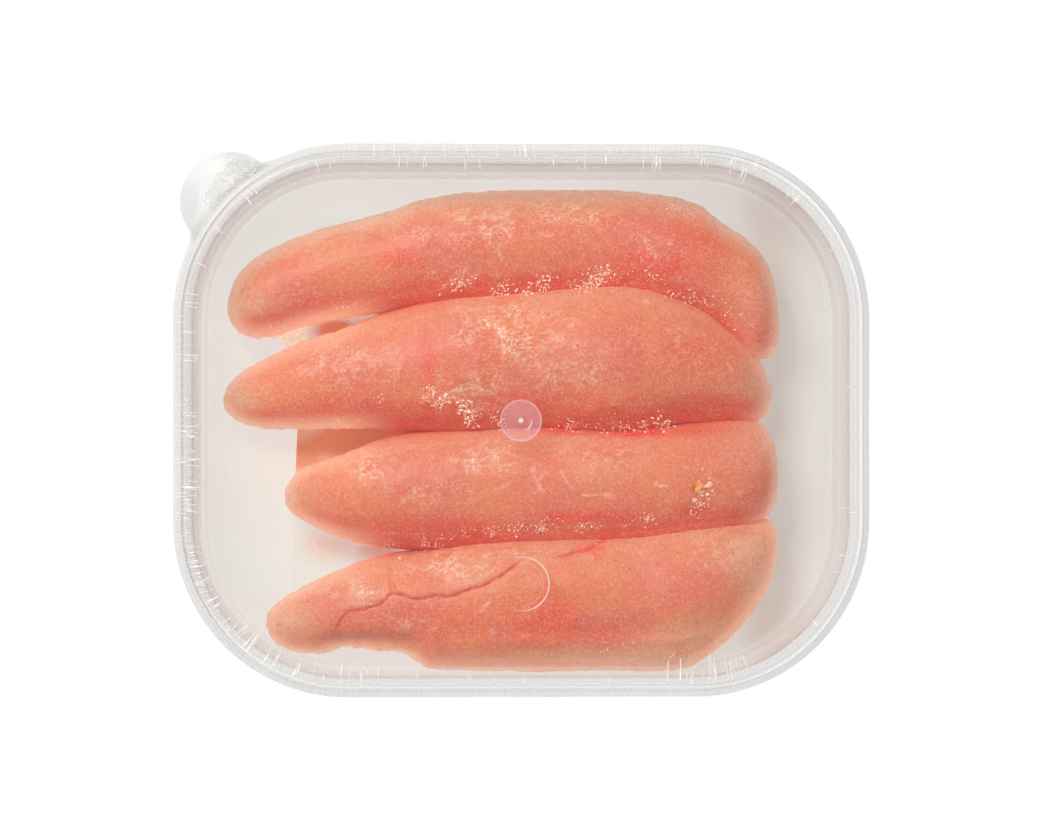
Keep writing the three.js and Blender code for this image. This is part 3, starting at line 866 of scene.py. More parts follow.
def line_distance(points, line):
    """How far each point is from a line of picture points, in millimetres, and on which side of it."""
    spots = [np.array(seen(*spot)) for spot in line]
    best = np.full(len(points), 1e9)
    side = np.zeros(len(points))
    for start, end in zip(spots, spots[1:]):
        run = end - start
        share = np.clip((points - start) @ run / (run @ run), 0, 1)
        off = points - start - share[:, None] * run
        distance = np.hypot(*off.T)
        side = np.where(distance < best, run[0] * off[:, 1] - run[1] * off[:, 0], side)
        best = np.minimum(best, distance)
    return best, side


def near_lines(points, lines, strength, reach):
    """How near each point is to the nearest of these lines: their strength on a line, nought beyond
    its reach."""
    best = np.zeros(len(points))
    for line in lines:
        best = np.maximum(best, strength * fade(line_distance(points, line)[0], reach))
    return best


def near_spots(points, spots):
    """How near each point is to the nearest of these ovals: x, y, half width and half height in the
    picture, and a strength."""
    best = np.zeros(len(points))
    for across, down, wide, high, strength in spots:
        middle = np.array(seen(across, down))
        size = np.array((wide, high)) * PIXEL_AT_RIM / MM
        best = np.maximum(best, strength * fade(np.hypot(*((points - middle) / size).T), 1.0))
    return best


def cloud(points, scale, seed):
    """Soft noise from minus one to one, with blobs of about this many millimetres."""
    shift = Vector((seed * 17.3, seed * 5.1, seed * 9.7))
    return np.array([noise.noise(Vector(point) / scale + shift) for point in points])


print("the gate is seen at", [round(v, 1) for v in seen(522, 420, 31)])

# %% [markdown]
# ## The roe sacs
#
# A roe sac is a long pouch of thin membrane, full of eggs. No two look alike: each has its own pale
# ends, deep red parts, crinkled patches, veins, white smears and folds. They are listed here sac by sac,
# so that one function can shape and colour all four.

# %% Features of each sac, as picture points
# pale, deep, patch, drops, milk and swell: middle, half width, half height and strength of an oval
# veins and smears: lines; folds: a line, its depth, its reach, the bulge beside it and how red its
# painted crease shade is
# pale and deep are colours, deep partly painted shade in valleys and creases, patch is crinkled skin,
# milk is thin milky skin, swell pushes the side out
SAC_FEATURES = {
    "roe_sac_1": {
        "pale": [(245, 300, 55, 50, 1.0), (320, 245, 70, 30, 0.5), (760, 300, 40, 70, 0.8),
                 (485, 212, 80, 22, 0.7), (560, 205, 160, 16, 0.6)],
        "deep": [(430, 288, 90, 22, 0.8), (650, 268, 90, 32, 1.0), (400, 262, 40, 25, 0.7),
                 (700, 240, 60, 30, 0.6), (560, 285, 80, 14, 0.7)],
        "patch": [(485, 225, 60, 32, 1.0), (420, 235, 50, 25, 0.6), (570, 212, 90, 25, 0.7),
                  (460, 275, 60, 20, 0.5), (640, 250, 60, 30, 0.35)],
        "veins": [[(328, 240), (338, 235), (355, 233), (372, 236), (392, 243)],
                  [(392, 243), (399, 255), (401, 268)], [(583, 240), (587, 262)]],
        "smears": [[(538, 232), (545, 238), (552, 236)], [(498, 250), (502, 262)]],
        "drops": [],
        "milk": [],
        "folds": [],
        "swell": [],
    },
    "roe_sac_2": {
        "pale": [(235, 400, 50, 45, 1.0), (340, 350, 80, 25, 0.5), (540, 298, 130, 18, 0.9),
                 (755, 385, 35, 40, 0.8), (560, 360, 60, 40, 0.4), (690, 330, 60, 25, 0.4)],
        "deep": [(428, 368, 16, 46, 0.5), (690, 350, 70, 40, 0.5), (610, 412, 130, 16, 0.7),
                 (350, 405, 90, 18, 0.6), (460, 410, 70, 20, 0.5), (660, 416, 90, 14, 1.2)],
        "patch": [(350, 365, 75, 32, 0.8), (510, 330, 95, 50, 1.0), (470, 390, 60, 30, 0.8),
                  (570, 370, 70, 45, 0.7), (680, 350, 60, 45, 0.25)],
        "veins": [[(600, 310), (607, 315)]],
        "smears": [[(725, 362), (731, 370)]],
        "drops": [(646, 302, 5, 4, 0.7), (600, 352, 9, 7, 0.35), (522, 362, 8, 7, 0.4),
                  (504, 400, 6, 5, 0.4)],
        "milk": [(235, 402, 30, 26, 0.3)],
        "folds": [([(427, 330), (425, 345), (428, 360), (430, 378), (433, 400), (440, 410)],
                   0.1, 0.8, 0.0, 0.2)],
        "swell": [(730, 414, 70, 16, 0.9), (640, 420, 60, 10, 0.4)],
    },
    "roe_sac_3": {
        "pale": [(298, 495, 45, 35, 0.9), (482, 455, 70, 28, 0.8), (752, 450, 50, 45, 0.9),
                 (600, 470, 70, 26, 0.5), (380, 460, 60, 18, 0.5)],
        "deep": [(650, 430, 110, 14, 1.3), (560, 430, 60, 9, 0.9), (400, 524, 120, 16, 0.6),
                 (470, 524, 90, 12, 1.0), (590, 518, 120, 14, 1.2), (700, 512, 70, 12, 1.0)],
        "patch": [(370, 468, 45, 22, 0.9), (482, 456, 50, 26, 1.0), (600, 455, 70, 22, 0.4),
                  (430, 490, 80, 25, 0.4)],
        "veins": [],
        "smears": [[(531, 469), (535, 479), (539, 488)], [(545, 472), (541, 478), (537, 481)],
                   [(538, 486), (542, 491)], [(561, 471), (566, 481), (574, 490)],
                   [(582, 495), (604, 495)], [(607, 495), (610, 495)],
                   [(503, 487), (509, 484)], [(656, 484), (666, 485)],
                   [(757, 420), (766, 427), (774, 437), (778, 448)], [(757, 423), (768, 433), (775, 446)]],
        "drops": [(539, 487, 5, 6, 0.9), (606, 495, 5, 5, 0.9), (655, 484, 5, 4, 0.7), (503, 487, 7, 4, 0.6),
                  (740, 493, 5, 4, 0.6), (533, 470, 4, 5, 0.6)],
        "milk": [(775, 440, 20, 30, 0.6)],
        "folds": [([(757, 420), (766, 429), (773, 440), (776, 452)], 0.35, 0.8, 0.0, 0.1)],
        "swell": [(720, 424, 80, 14, 0.8), (420, 535, 60, 14, 0.7)],
    },
    "roe_sac_4": {
        "pale": [(285, 620, 60, 35, 0.9), (455, 566, 75, 28, 0.9), (745, 550, 60, 50, 1.0),
                 (640, 550, 70, 25, 0.6), (355, 590, 50, 24, 0.6), (560, 655, 160, 14, 0.7),
                 (660, 640, 60, 30, 0.5), (655, 535, 46, 20, 0.9), (600, 566, 34, 14, 0.5)],
        "deep": [(545, 620, 60, 42, 0.9), (470, 620, 110, 30, 0.3), (600, 640, 60, 24, 0.5),
                 (592, 548, 26, 9, 1.0), (548, 600, 12, 34, 0.7), (610, 528, 40, 8, 0.9)],
        "patch": [(355, 593, 46, 20, 0.9), (455, 566, 68, 26, 1.0), (520, 555, 30, 15, 0.6),
                  (400, 620, 50, 20, 0.4), (720, 550, 50, 30, 0.4)],
        "veins": [[(592, 548), (597, 562)]],
        "smears": [[(481, 609), (489, 602)], [(490, 630), (495, 632)]],
        "drops": [(482, 608, 6, 5, 0.5), (492, 631, 5, 4, 0.5)],
        "milk": [(276, 625, 60, 40, 0.7), (768, 585, 52, 80, 0.85), (650, 664, 190, 34, 0.85),
                 (490, 672, 130, 24, 0.5), (705, 640, 60, 50, 0.6)],
        "folds": [
            ([(338, 625), (345, 615), (350, 611), (362, 609), (375, 606), (386, 600), (392, 594),
              (404, 595), (420, 598), (432, 597), (446, 596), (460, 593), (475, 587), (488, 582),
              (500, 576), (518, 563)], 0.3, 0.45, 0.55, 1.0),
            ([(393, 556), (390, 570), (393, 592)], 0.4, 1.0, 0.1, 0.15),
            ([(562, 557), (578, 552), (592, 548), (605, 542), (628, 532)], 0.35, 0.7, 0.3, 0.7),
        ],
        "swell": [(430, 548, 60, 12, 0.6)],
    },
}
print("features", {node: sum(map(len, parts.values())) for node, parts in SAC_FEATURES.items()})

# %% [markdown]
# The solids of the frame have the right places and sizes but show flat facets. Each one is copied, its
# doubled points are merged, and it is remeshed into even small squares and smoothed, which rounds the
# facets off. After a subdivision there are enough points to carry the soft lumps, the crinkled skin and
# the creases that the photo shows.

# %% Smooth copies and their skin
REMESH_SIZE = 0.8


def smooth_copy(node):
    """A copy of a node of the frame, merged, remeshed and smoothed."""
    select_only(frame["nodes"][node])
    bpy.ops.object.duplicate()
    piece = bpy.context.object
    bpy.ops.object.parent_clear(type="CLEAR_KEEP_TRANSFORM")
    bpy.ops.object.transform_apply(location=True, rotation=True, scale=True)
    face_outward(piece, SAME_POINT)
    apply_modifier(piece, "REMESH", mode="VOXEL", voxel_size=REMESH_SIZE * MM)
    apply_modifier(piece, "SMOOTH", factor=0.5, iterations=18)
    apply_modifier(piece, "SUBSURF", levels=1, render_levels=1)
    return piece


def read_mesh(piece):
    """The points and normals of a mesh, in millimetres."""
    points = np.zeros(len(piece.data.vertices) * 3)
    normals = np.zeros_like(points)
    piece.data.vertices.foreach_get("co", points)
    piece.data.vertices.foreach_get("normal", normals)
    return points.reshape(-1, 3) / MM, normals.reshape(-1, 3)


def ramp_up(values, low, high):
    """Nought below low, one above high and smooth between."""
    share = np.clip((values - low) / (high - low), 0, 1)
    return share * share * (3 - 2 * share)


def crinkles(points, seed):
    """Thin wavy ridges, as in the skin of something that has dried a little: nought to one."""
    bend = np.stack([cloud(points, 3.5, seed + axis) for axis in (1, 2, 3)], 1)
    folded = (points + bend * 0.9) * (0.75, 1.15, 1.15)
    wide = 1 - np.abs(cloud(folded, 1.9, seed + 4))
    fine = 1 - np.abs(cloud(folded, 1.05, seed + 5))
    return 0.65 * wide ** 3 + 0.35 * fine ** 3


def paint(colours, share, colour):
    """Blend a colour into the colour of each point, by the point's share."""
    colours += (np.array(colour[:3]) - colours) * np.clip(share, 0, 1)[:, None]

print("the skin gets a point about every", REMESH_SIZE / 2, "mm")

# %% [markdown]
# The broad colours follow the same features as the shape, so they are painted on the mesh with it. Flesh
# is salmon with orange clouds, pale at the tips and deep red where a feature says so; many deep spots are
# painted shade in the valleys. Painted light and shade are mixed in too: pale on the back slopes, deep
# red on the front slopes of the first three sacs, shade at the right ends, red shade in the grooves
# between two sacs and a milky painted sheen on the free sides. A second colour is a painted glow: it
# stands in for the light that comes through the thin sides and glows in the grooves between two sacs.

# %% Colours of the skin
FLESH = rgb(234, 126, 98)
ORANGE_FLESH = rgb(240, 140, 94)
PALE_FLESH = rgb(236, 174, 136)
DEEP_FLESH = rgb(248, 72, 54)
RIGHT_SHADE_FLESH = rgb(216, 112, 92)
GROOVE_SHADE_RED = rgb(206, 66, 52)
MILKY_SKIN = rgb(236, 192, 164)
VEIN_RED = rgb(206, 66, 58)
SMEAR_WHITE = rgb(255, 218, 202)
# painted glow that stands in for light coming through the roe from below and behind
GROOVE_GLOW = rgb(66, 24, 20)
SIDE_GLOW = rgb(148, 112, 94)
CREVICE_GLOW = rgb(84, 28, 24)
FOLD_GLOW = rgb(124, 34, 30)


def paint_sac(index, piece, points, normals, marks):
    """Paint the skin's broad colours and the light inside it on the mesh, from the marks' values."""
    features = SAC_FEATURES[f"roe_sac_{index}"]
    flat = points[:, :2]
    tint = marks["tint"]
    edge = marks["edge"]
    touching = marks["touching"]
    to_right = 0.5 if index == 4 else 0.1
    # the painted glow is stronger on the front slopes and, most for the front sac, at the right
    side_light = 0.4 + to_right * np.clip(normals[:, 0], 0, 1) + 0.7 * np.clip(-normals[:, 1], 0, 1)
    through = (1 - ramp_up(normals[:, 2], 0.3, 1.0)) * (1 - touching) * side_light
    groove = (1 - ramp_up(normals[:, 2], 0.1, 0.65)) * touching
    crevice = (1 - ramp_up(normals[:, 2], -0.3, 0.22)) * touching
    # the back slopes are painted pale: painted light
    pale = np.maximum(near_spots(flat, features["pale"]), 0.75 * marks["back"])
    deep = near_spots(flat, features["deep"])
    # the front slopes of the first three sacs are painted deep red: painted shade in the valley
    if index < 4:
        deep = np.maximum(deep, 0.8 * marks["front"])
    # the free steep sides get a milky painted sheen
    milk = np.maximum(edge, near_spots(flat, features["milk"]))
    mottle = 1 + 0.45 * cloud(points, 9, index + 60) + 0.3 * cloud(points, 3, index + 70)
    flesh = np.tile(FLESH[:3], (len(points), 1))
    paint(flesh, ramp_up(cloud(points, 13, index + 80), -0.3, 0.3), ORANGE_FLESH)
    paint(flesh, 0.85 * pale * (1 - tint) * mottle, PALE_FLESH)
    paint(flesh, 0.85 * np.maximum(deep * (1 - edge), tint) * mottle, DEEP_FLESH)
    if index < 4:
        # the right ends are painted darker: painted shade
        paint(flesh, 0.4 * ramp_up(points[:, 0], 16, 60), RIGHT_SHADE_FLESH)
    # the grooves where two sacs touch get painted red shade
    paint(flesh, 0.35 * groove, GROOVE_SHADE_RED)
    paint(flesh, milk * (0.3 * mottle + 0.7), MILKY_SKIN)
    paint(flesh, np.maximum(marks["vein"], tint), VEIN_RED)
    paint(flesh, marks["smear"] * (0.65 + 0.5 * cloud(points, 2.4, 33)), SMEAR_WHITE)
    # the inner colour is a painted glow in grooves, crevices and folds and on the thin sides
    inner = np.zeros_like(flesh)
    paint(inner, groove, GROOVE_GLOW)
    paint(inner, through, SIDE_GLOW)
    paint(inner, crevice, CREVICE_GLOW)
    paint(inner, 0.8 * tint, FOLD_GLOW)
    # white frost and painted glints on the crinkled patches
    frost_and_glint_share = 0.75 * marks["patch"] + 0.12
    scatter = ramp_up(cloud(points, 3.3, index + 90), -0.15, 0.25)
    for name, colours in {"flesh": flesh, "inner": inner}.items():
        layer = piece.data.attributes.new(name, "FLOAT_COLOR", "POINT")
        layer.data.foreach_set("color", np.column_stack([colours, np.ones(len(points))]).ravel())
    wrinkle = 0.5 * ramp_up(marks["crinkle"], 0.5, 0.75) * frost_and_glint_share
    for name, value in {"wrinkle": wrinkle, "stroke": scatter * frost_and_glint_share}.items():
        piece.data.attributes.new(name, "FLOAT", "POINT").data.foreach_set("value", value)


print("skin colours", [tuple(round(share, 2) for share in colour[:3]) for colour in (FLESH, DEEP_FLESH)])

# %% [markdown]
# Now one sac is shaped. All points are pushed along their normals, by a sum of soft lumps, crinkles,
# folds with a bulge beside them, veins and smears. Where two sacs touch they press together, so their
# sides swell until they meet. The sac in front has a ragged front edge with a dent at the left.

# %% One sac
CONTACT_PUSH = 1.2
FREE_PUSH = 0.35
FRONT_PUSH = 1.3
FRONT_DENT = 1.8
FOLD_BULGE_REACH = 4.5


def make_sac(index):
    """One roe sac, with its lumps, crinkles and folds, and the broad colours of its skin."""
    node = f"roe_sac_{index}"
    features = SAC_FEATURES[node]
    piece = smooth_copy(node)
    piece.name = f"roe_{index}"
    points, normals = read_mesh(piece)
    flat = points[:, :2]
    wavy = flat + 0.5 * np.stack([cloud(points, 2.6, 91), cloud(points, 2.6, 92)], 1)
    top = np.clip(normals[:, 2] * 1.4, 0, 1)
    patch = near_spots(flat, features["patch"])
    crinkle = crinkles(points, 20 * index)
    lumps = 0.4 * cloud(points, 14, index) + 0.22 * cloud(points, 6, index + 10)
    push = (lumps + 0.24 * (crinkle - 0.45) * (0.18 + 0.82 * patch)) * (0.25 + 0.75 * top)
    tint = np.zeros(len(points))
    for line, depth, reach, bulge, shade in features["folds"]:
        distance, side = line_distance(wavy, line)
        push -= depth * fade(distance, reach) * top
        lobe = fade(np.abs(distance - 1.6 * reach), FOLD_BULGE_REACH) * top
        push += bulge * lobe * np.where(side > 0, 1.0, 0.25)
        # the crease is painted red: painted shade and glow in the fold
        tint = np.maximum(tint, fade(distance, 0.8 * reach) * shade)
    vein = near_lines(flat, features["veins"], 0.4, 0.45)
    smear = near_lines(wavy, features["smears"], 0.8, 0.42)
    smear = np.maximum(smear, near_spots(flat, features["drops"]))
    front = ramp_up(-normals[:, 1], 0.25, 0.7)
    back = ramp_up(normals[:, 1], 0.25, 0.85)
    touching = (front if index < 4 else 0 * front) + (back if index > 1 else 0 * back)
    touching *= ramp_up(points[:, 0], -42, -24) * ramp_up(-points[:, 0], -58, -46)
    side_push = FREE_PUSH + (CONTACT_PUSH - FREE_PUSH) * touching + near_spots(flat, features["swell"])
    push += 0.12 * smear - 0.1 * vein + side_push * (1 - top)
    if index == 4:
        ragged = 0.5 + 0.5 * cloud(points, 3, 77)
        along = ramp_up(points[:, 0], -26, -19) * ramp_up(-points[:, 0], -44, -34)
        at_right = ramp_up(points[:, 0], 30, 44)
        push += FRONT_PUSH * front * (along + 0.5 * ragged * at_right * (1 - along))
        dented = ramp_up(points[:, 0], -46, -38) * (1 - ramp_up(points[:, 0], -26, -19))
        push -= FRONT_DENT * front * (0.6 + 0.8 * ragged) * dented
    edge = (1 - ramp_up(normals[:, 2], 0.1, 0.9)) * (1 - touching)
    push += 0.4 * cloud(points, 1.7, index + 50) * edge
    points += normals * push[:, None]
    piece.data.vertices.foreach_set("co", (points * MM).ravel())
    marks = {"front": front, "back": back, "touching": touching, "edge": edge, "tint": tint, "vein": vein,
             "smear": smear, "patch": patch, "crinkle": crinkle}
    paint_sac(index, piece, points, normals, marks)
    piece.data.update()
    smooth(piece, 180)
    return piece


sacs = [make_sac(index) for index in (1, 2, 3, 4)]
print("sac points", [len(sac.data.vertices) for sac in sacs])

# %% [markdown]
# ## Salt and ice crystals
#
# Fine crystals cling to the roe where two sacs touch. Each is a tiny uneven grain, longer than it is
# wide: an icosphere whose points are drawn in or out at random. The grains are strewn along the seams
# in clumps: a ray from above finds the roe's skin, and the grain is set on it with its own turn and
# size. The crumbs beside the sacs and the golden cluster are made in the same way.

# %% Crystals
# a line and a spread in picture points, clumps, crystals in a clump, smallest and largest in mm
FROST = [
    ([(448, 289), (476, 280)], 5, 7, 9, 0.2, 0.75),
    ([(496, 290), (516, 283)], 5, 6, 9, 0.2, 0.75),
    ([(528, 289), (549, 277)], 6, 8, 10, 0.2, 0.8),
    ([(584, 286), (603, 270)], 7, 10, 11, 0.2, 0.85),
    ([(552, 287), (584, 285), (610, 279), (642, 283)], 4, 12, 6, 0.2, 0.5),
    ([(644, 274), (662, 284), (690, 294)], 10, 12, 5, 0.2, 0.65),
    ([(690, 296), (712, 304), (728, 312), (745, 330)], 8, 12, 5, 0.2, 0.6),
    ([(340, 304), (356, 298)], 5, 3, 6, 0.2, 0.5),
    ([(380, 285), (420, 250), (448, 262)], 10, 6, 3, 0.2, 0.45),
    ([(430, 392), (438, 402), (446, 412)], 7, 12, 9, 0.2, 0.7),
    ([(450, 398), (466, 408), (474, 420)], 8, 13, 10, 0.2, 0.85),
    ([(478, 412), (505, 424)], 6, 7, 8, 0.2, 0.7),
    ([(330, 425), (370, 422)], 6, 5, 5, 0.2, 0.5),
    ([(372, 396), (382, 402)], 5, 4, 5, 0.2, 0.5),
    ([(548, 424), (606, 428), (640, 427)], 4, 20, 6, 0.2, 0.6),
    ([(640, 427), (652, 423), (674, 424)], 4, 10, 8, 0.2, 0.8),
    ([(384, 552), (425, 548), (466, 538)], 9, 12, 7, 0.2, 0.6),
    ([(470, 530), (515, 529)], 5, 6, 6, 0.2, 0.6),
    ([(510, 531), (520, 527)], 3, 4, 8, 0.2, 0.7),
    ([(538, 529), (546, 522)], 3, 5, 9, 0.2, 0.7),
    ([(580, 529), (590, 524)], 3, 4, 8, 0.2, 0.7),
    ([(520, 529), (600, 526), (650, 519)], 4, 14, 4, 0.2, 0.45),
    ([(646, 521), (656, 514)], 3, 4, 7, 0.2, 0.65),
    ([(688, 512), (700, 503)], 4, 6, 7, 0.2, 0.65),
    ([(564, 193), (620, 193), (662, 200), (690, 210), (705, 218)], 3, 26, 7, 0.2, 0.55),
    ([(240, 305), (262, 330), (300, 325)], 4, 8, 5, 0.2, 0.45),
    ([(600, 650), (660, 658), (700, 645)], 12, 10, 4, 0.2, 0.5),
    ([(575, 240), (600, 330), (650, 320)], 12, 6, 2, 0.2, 0.4),
]
LOOSE_FROST = [
    ([(385, 548), (430, 542), (465, 532)], 6, 14, 8, 0.2, 0.6),
]
print("clumps of frost", sum(clumps for _, _, clumps, _, _, _ in FROST + LOOSE_FROST))

# %% [markdown]
# Particles could strew the grains too, but an export drops them. So the grains are made as one mesh: for
# each one the blank's points get their own roughness, turn and size, and all are joined at the end.

# %% Strewing
CLUMP_SPREAD = 3.6
FEWER_LARGE = 1.6
SINK = 0.15
RAY_HEIGHT = 60


def crystal_blank():
    """The points and faces of one crystal of size one."""
    select_only()
    bpy.ops.mesh.primitive_ico_sphere_add(subdivisions=1, radius=0.5)
    blank = bpy.context.object
    points = np.array([vertex.co[:] for vertex in blank.data.vertices])
    faces = np.array([face.vertices[:] for face in blank.data.polygons])
    bpy.data.objects.remove(blank)
    return points, faces


def surface_under(trees, x, y):
    """The first skin that a ray from above meets here: its point and normal, in millimetres."""
    best = None
    for tree in trees:
        point, normal, _, _ = tree.ray_cast(Vector((x, y, RAY_HEIGHT)) * MM, Vector((0, 0, -1)))
        if point and (best is None or point.z > best[0].z):
            best = (point, normal)
    return best


def strew(name, lines, seed, trees, shape=(1, 1, 1)):
    """A mesh of crystals along these lines, sitting on the first surface below."""
    chance = np.random.default_rng(seed)
    blank, faces = crystal_blank()
    all_points = []
    all_faces = []
    for line, spread, clumps, count, small, large in lines:
        spots = np.array(line, float)
        steps = np.hypot(*np.diff(spots, axis=0).T)
        along = np.concatenate([[0], np.cumsum(steps)])
        run = np.repeat(chance.uniform(0, along[-1], clumps), count)
        clump = np.repeat(chance.normal(0, spread / 2, (clumps, 2)), count, axis=0)
        clump += chance.normal(0, CLUMP_SPREAD, clump.shape)
        for across, down in np.stack([np.interp(run, along, column) for column in spots.T], 1) + clump:
            hit = surface_under(trees, *seen(across, down))
            if hit is None:
                continue
            size = small + (large - small) * chance.random() ** FEWER_LARGE
            turn = np.linalg.qr(chance.normal(size=(3, 3)))[0]
            rough = blank * chance.uniform(0.7, 1.3, size=(len(blank), 1)) * shape
            middle = np.array(hit[0]) / MM + np.array(hit[1]) * size * SINK
            all_faces.append(faces + len(blank) * len(all_points))
            all_points.append(middle + rough @ turn.T * size)
    mesh = bpy.data.meshes.new(name)
    mesh.from_pydata(np.concatenate(all_points) * MM, [], np.concatenate(all_faces).tolist())
    mesh.validate()
    piece = bpy.data.objects.new(name, mesh)
    bpy.context.scene.collection.objects.link(piece)
    face_outward(piece)
    print(name, len(all_points), "crystals")
    return piece


def tree_of(piece):
    """A search tree over a mesh, that rays can be cast at."""
    mesh = bmesh.new()
    mesh.from_mesh(piece.data)
    tree = BVHTree.FromBMesh(mesh)
    mesh.free()
    return tree


print("a crystal has", len(crystal_blank()[1]), "faces")

# %% [markdown]
# Salt lies on the sacs and a little on the floor. One cluster of large golden crystals with pale ones
# round it sits on the third sac, and cream crumbs lie on the sheet between the tips of the first two.

# %% Strew crystals and crumbs
FROST_SEED = 5
sac_trees = [tree_of(sac) for sac in sacs]
crystals = strew("salt_crystals", FROST, FROST_SEED, sac_trees, (1.35, 0.65, 0.5))
ground_trees = [tree_of(tub), tree_of(sheet)]
loose = strew("loose_crystals", LOOSE_FROST, FROST_SEED + 3, ground_trees, (1.6, 0.55, 0.5))
GOLD_CLUSTER = [([(691, 483), (697, 492)], 1, 3, 2, 1.7, 2.4)]
gold = strew("gold_crystals", GOLD_CLUSTER, FROST_SEED + 1, sac_trees, (1.1, 0.8, 0.6))
PALE_CLUSTER = [
    ([(702, 483), (709, 491)], 1, 4, 3, 0.6, 1.3), ([(707, 470), (708, 479)], 1, 3, 3, 0.3, 0.9),
    ([(697, 500), (702, 503)], 2, 3, 3, 0.3, 0.7),
]
pale_crystals = strew("pale_crystals", PALE_CLUSTER, FROST_SEED + 4, sac_trees)
CRUMBS = [
    ([(274, 331), (288, 334), (300, 333)], 7, 22, 10, 0.4, 1.5),
    ([(286, 344), (299, 341)], 6, 10, 8, 0.3, 1.2),
    ([(290, 324), (302, 329)], 4, 10, 9, 0.3, 1.2),
    ([(255, 331), (272, 328)], 4, 5, 6, 0.3, 0.7),
]
crumbs = strew("cream_crumbs", CRUMBS, FROST_SEED + 2, ground_trees, (1.0, 0.8, 0.5))

# %% [markdown]
# ## Finish of the plastics
#
# Thin polypropylene is clear but a little milky. Seen square on it lets nearly all light through, and
# seen along the wall it looks white. Layer Weight gives that angle. Many marks of tub, lid and film run
# along the lid's outline, so one helper measures how far inside it a point lies.

# %% Helpers for clear plastic
PLASTIC_ROUGHNESS = 0.25
SQUARE_ON = 0.07
EDGE_ON = 0.2


def inset_wire(finish):
    """How far inside the lid's outline a point lies, in millimetres: below nought on the tab."""
    past_x = (abs(finish.axis("X")) - CORNER_X / MM).above(0.0)
    past_y = (abs(finish.axis("Y")) - CORNER_Y / MM).above(0.0)
    return R - (past_x * past_x + past_y * past_y) ** 0.5


def grazing(finish):
    """Nought where the wall is seen square on, and one where it is seen along its surface."""
    return finish.node("ShaderNodeLayerWeight", None, {"Blend": 0.5}, output="Facing") ** 2.0


def opaqueness(finish):
    """How opaque the lid's upper skin is: more so the more it is seen along its surface."""
    return grazing(finish) * (EDGE_ON - SQUARE_ON) + SQUARE_ON


print("the lid's skin is opaque by", SQUARE_ON, "to", EDGE_ON)

# %% [markdown]
# The tub's floor and low walls carry painted light and shade for the light inside the pack: a yellowish
# painted glow at the left, where the sacs' tips colour it, painted grey shade at the right, a painted
# shadow in the strip just right of the roe, and painted shade near the walls.

# %% Tub finish
tub_finish = Finish("tub_clear", Roughness=PLASTIC_ROUGHNESS)
tub_x = tub_finish.axis("X")
tub_y = tub_finish.axis("Y")
cloudy = tub_finish.noise(60.0, 1.0) * 0.2 + 0.9
# the right is painted greyer and a little less clear: painted shade
tub_right = tub_finish.step(tub_x, 10, 66)
low_wall = 1 - tub_finish.step(tub_finish.axis("Z"), 30, 33)
# a painted yellowish glow at the left, near the sacs' tips
tips_glow_off = ((tub_x + 56.0) ** 2.0 + (tub_y + 8.0) ** 2.0) ** 0.5
tips_glow = 1 - tub_finish.step(tips_glow_off, 3, 26)
# painted shade near the walls
wall_shade = 1 - tub_finish.step(inset_wire(tub_finish), 7, 16)
# a painted shadow in the strip just right of the roe
roe_shadow_right = tub_finish.step(tub_x, 48, 56) * (1 - tub_finish.step(tub_x, 58, 68))
tub_veil = tub_right * 0.16 + roe_shadow_right * 0.1 + 0.36
tub_finish.set("Alpha", tub_veil * low_wall * cloudy)
tub_floor = tub_finish.mix(tub_right, rgb(208, 198, 162), rgb(202, 202, 190))
tub_floor = tub_finish.mix(tips_glow, tub_floor, rgb(230, 202, 158))
tub_floor = tub_finish.mix(roe_shadow_right * 0.8, tub_floor, rgb(196, 172, 146))
wall_shade_share = wall_shade * (0.4 - tub_right * 0.3)
tub_finish.set("Base Color", tub_finish.mix(wall_shade_share, tub_floor, rgb(186, 166, 148)))
print("tub finish", len(tub_finish.nodes), "nodes")

# %% [markdown]
# The lid's real wall bends the light, so the rim shows milky and pinkish lines; they are painted here as
# light and shade. Bands that follow the lid's outline draw them, from the darker milky rim over the plug
# wall's painted pinkish shade to a painted highlight at the panel's edge. The gate looks pink, with painted
# highlights on its edge, its nub and an arc inside it, and the ring marks get a painted highlight on one
# side only. Walls seen edge on get a painted glow, stronger at the right, and at the right and front the
# milk of rim and plug, the glow and the gleam are painted weaker.

# %% Lid finish
# a painted glow of walls seen edge on, standing in for light passing through them
WALL_GLOW = rgb(112, 109, 104)
# where the lid's parts lie, in mm inside its outline
RIM_BAND = (1.2, 3.9)
PLUG_BAND = (3.9, 5.0)
GLEAM_BAND = (5.1, 5.6)
lid_finish = Finish("lid_clear", Roughness=PLASTIC_ROUGHNESS, Emission_Strength=1.0)
lid_inset = inset_wire(lid_finish)
lid_height = lid_finish.axis("Z")
lid_x = lid_finish.axis("X")
lid_y = lid_finish.axis("Y")
# at the sunny right and front the painted milk of rim and plug, the glow and the gleam are weaker
sunny = (lid_finish.step(lid_x, 30, 70) + lid_finish.step(lid_y * -1.0, 30, 56)).clamp()
# the gleam at the panel's edge is a painted highlight
gleam = lid_finish.band(lid_inset, *GLEAM_BAND, 0.15) * lid_finish.step(lid_height, 30.5, 30.7)
gleam = gleam * (1 - sunny * 0.8)
lines = lid_finish.node("ShaderNodeTexNoise", {"noise_dimensions": "1D"}, {"W": lid_inset, "Scale": 2.4})
# the rim band is painted darker and milkier: painted shade of the light the wall bends
rim_part = lid_finish.band(lid_inset, *RIM_BAND, 0.3) * (lid_finish.step(lines, 0.4, 0.6) * 0.3 + 0.85)
plug = lid_finish.band(lid_inset, *PLUG_BAND, 0.12)
tab_part = 1 - lid_finish.step(lid_inset, -0.4, -0.1)
gate_off = (lid_x ** 2.0 + lid_y ** 2.0) ** 0.5
gate = 1 - lid_finish.step(gate_off, GATE_RADIUS - 0.1, GATE_RADIUS)
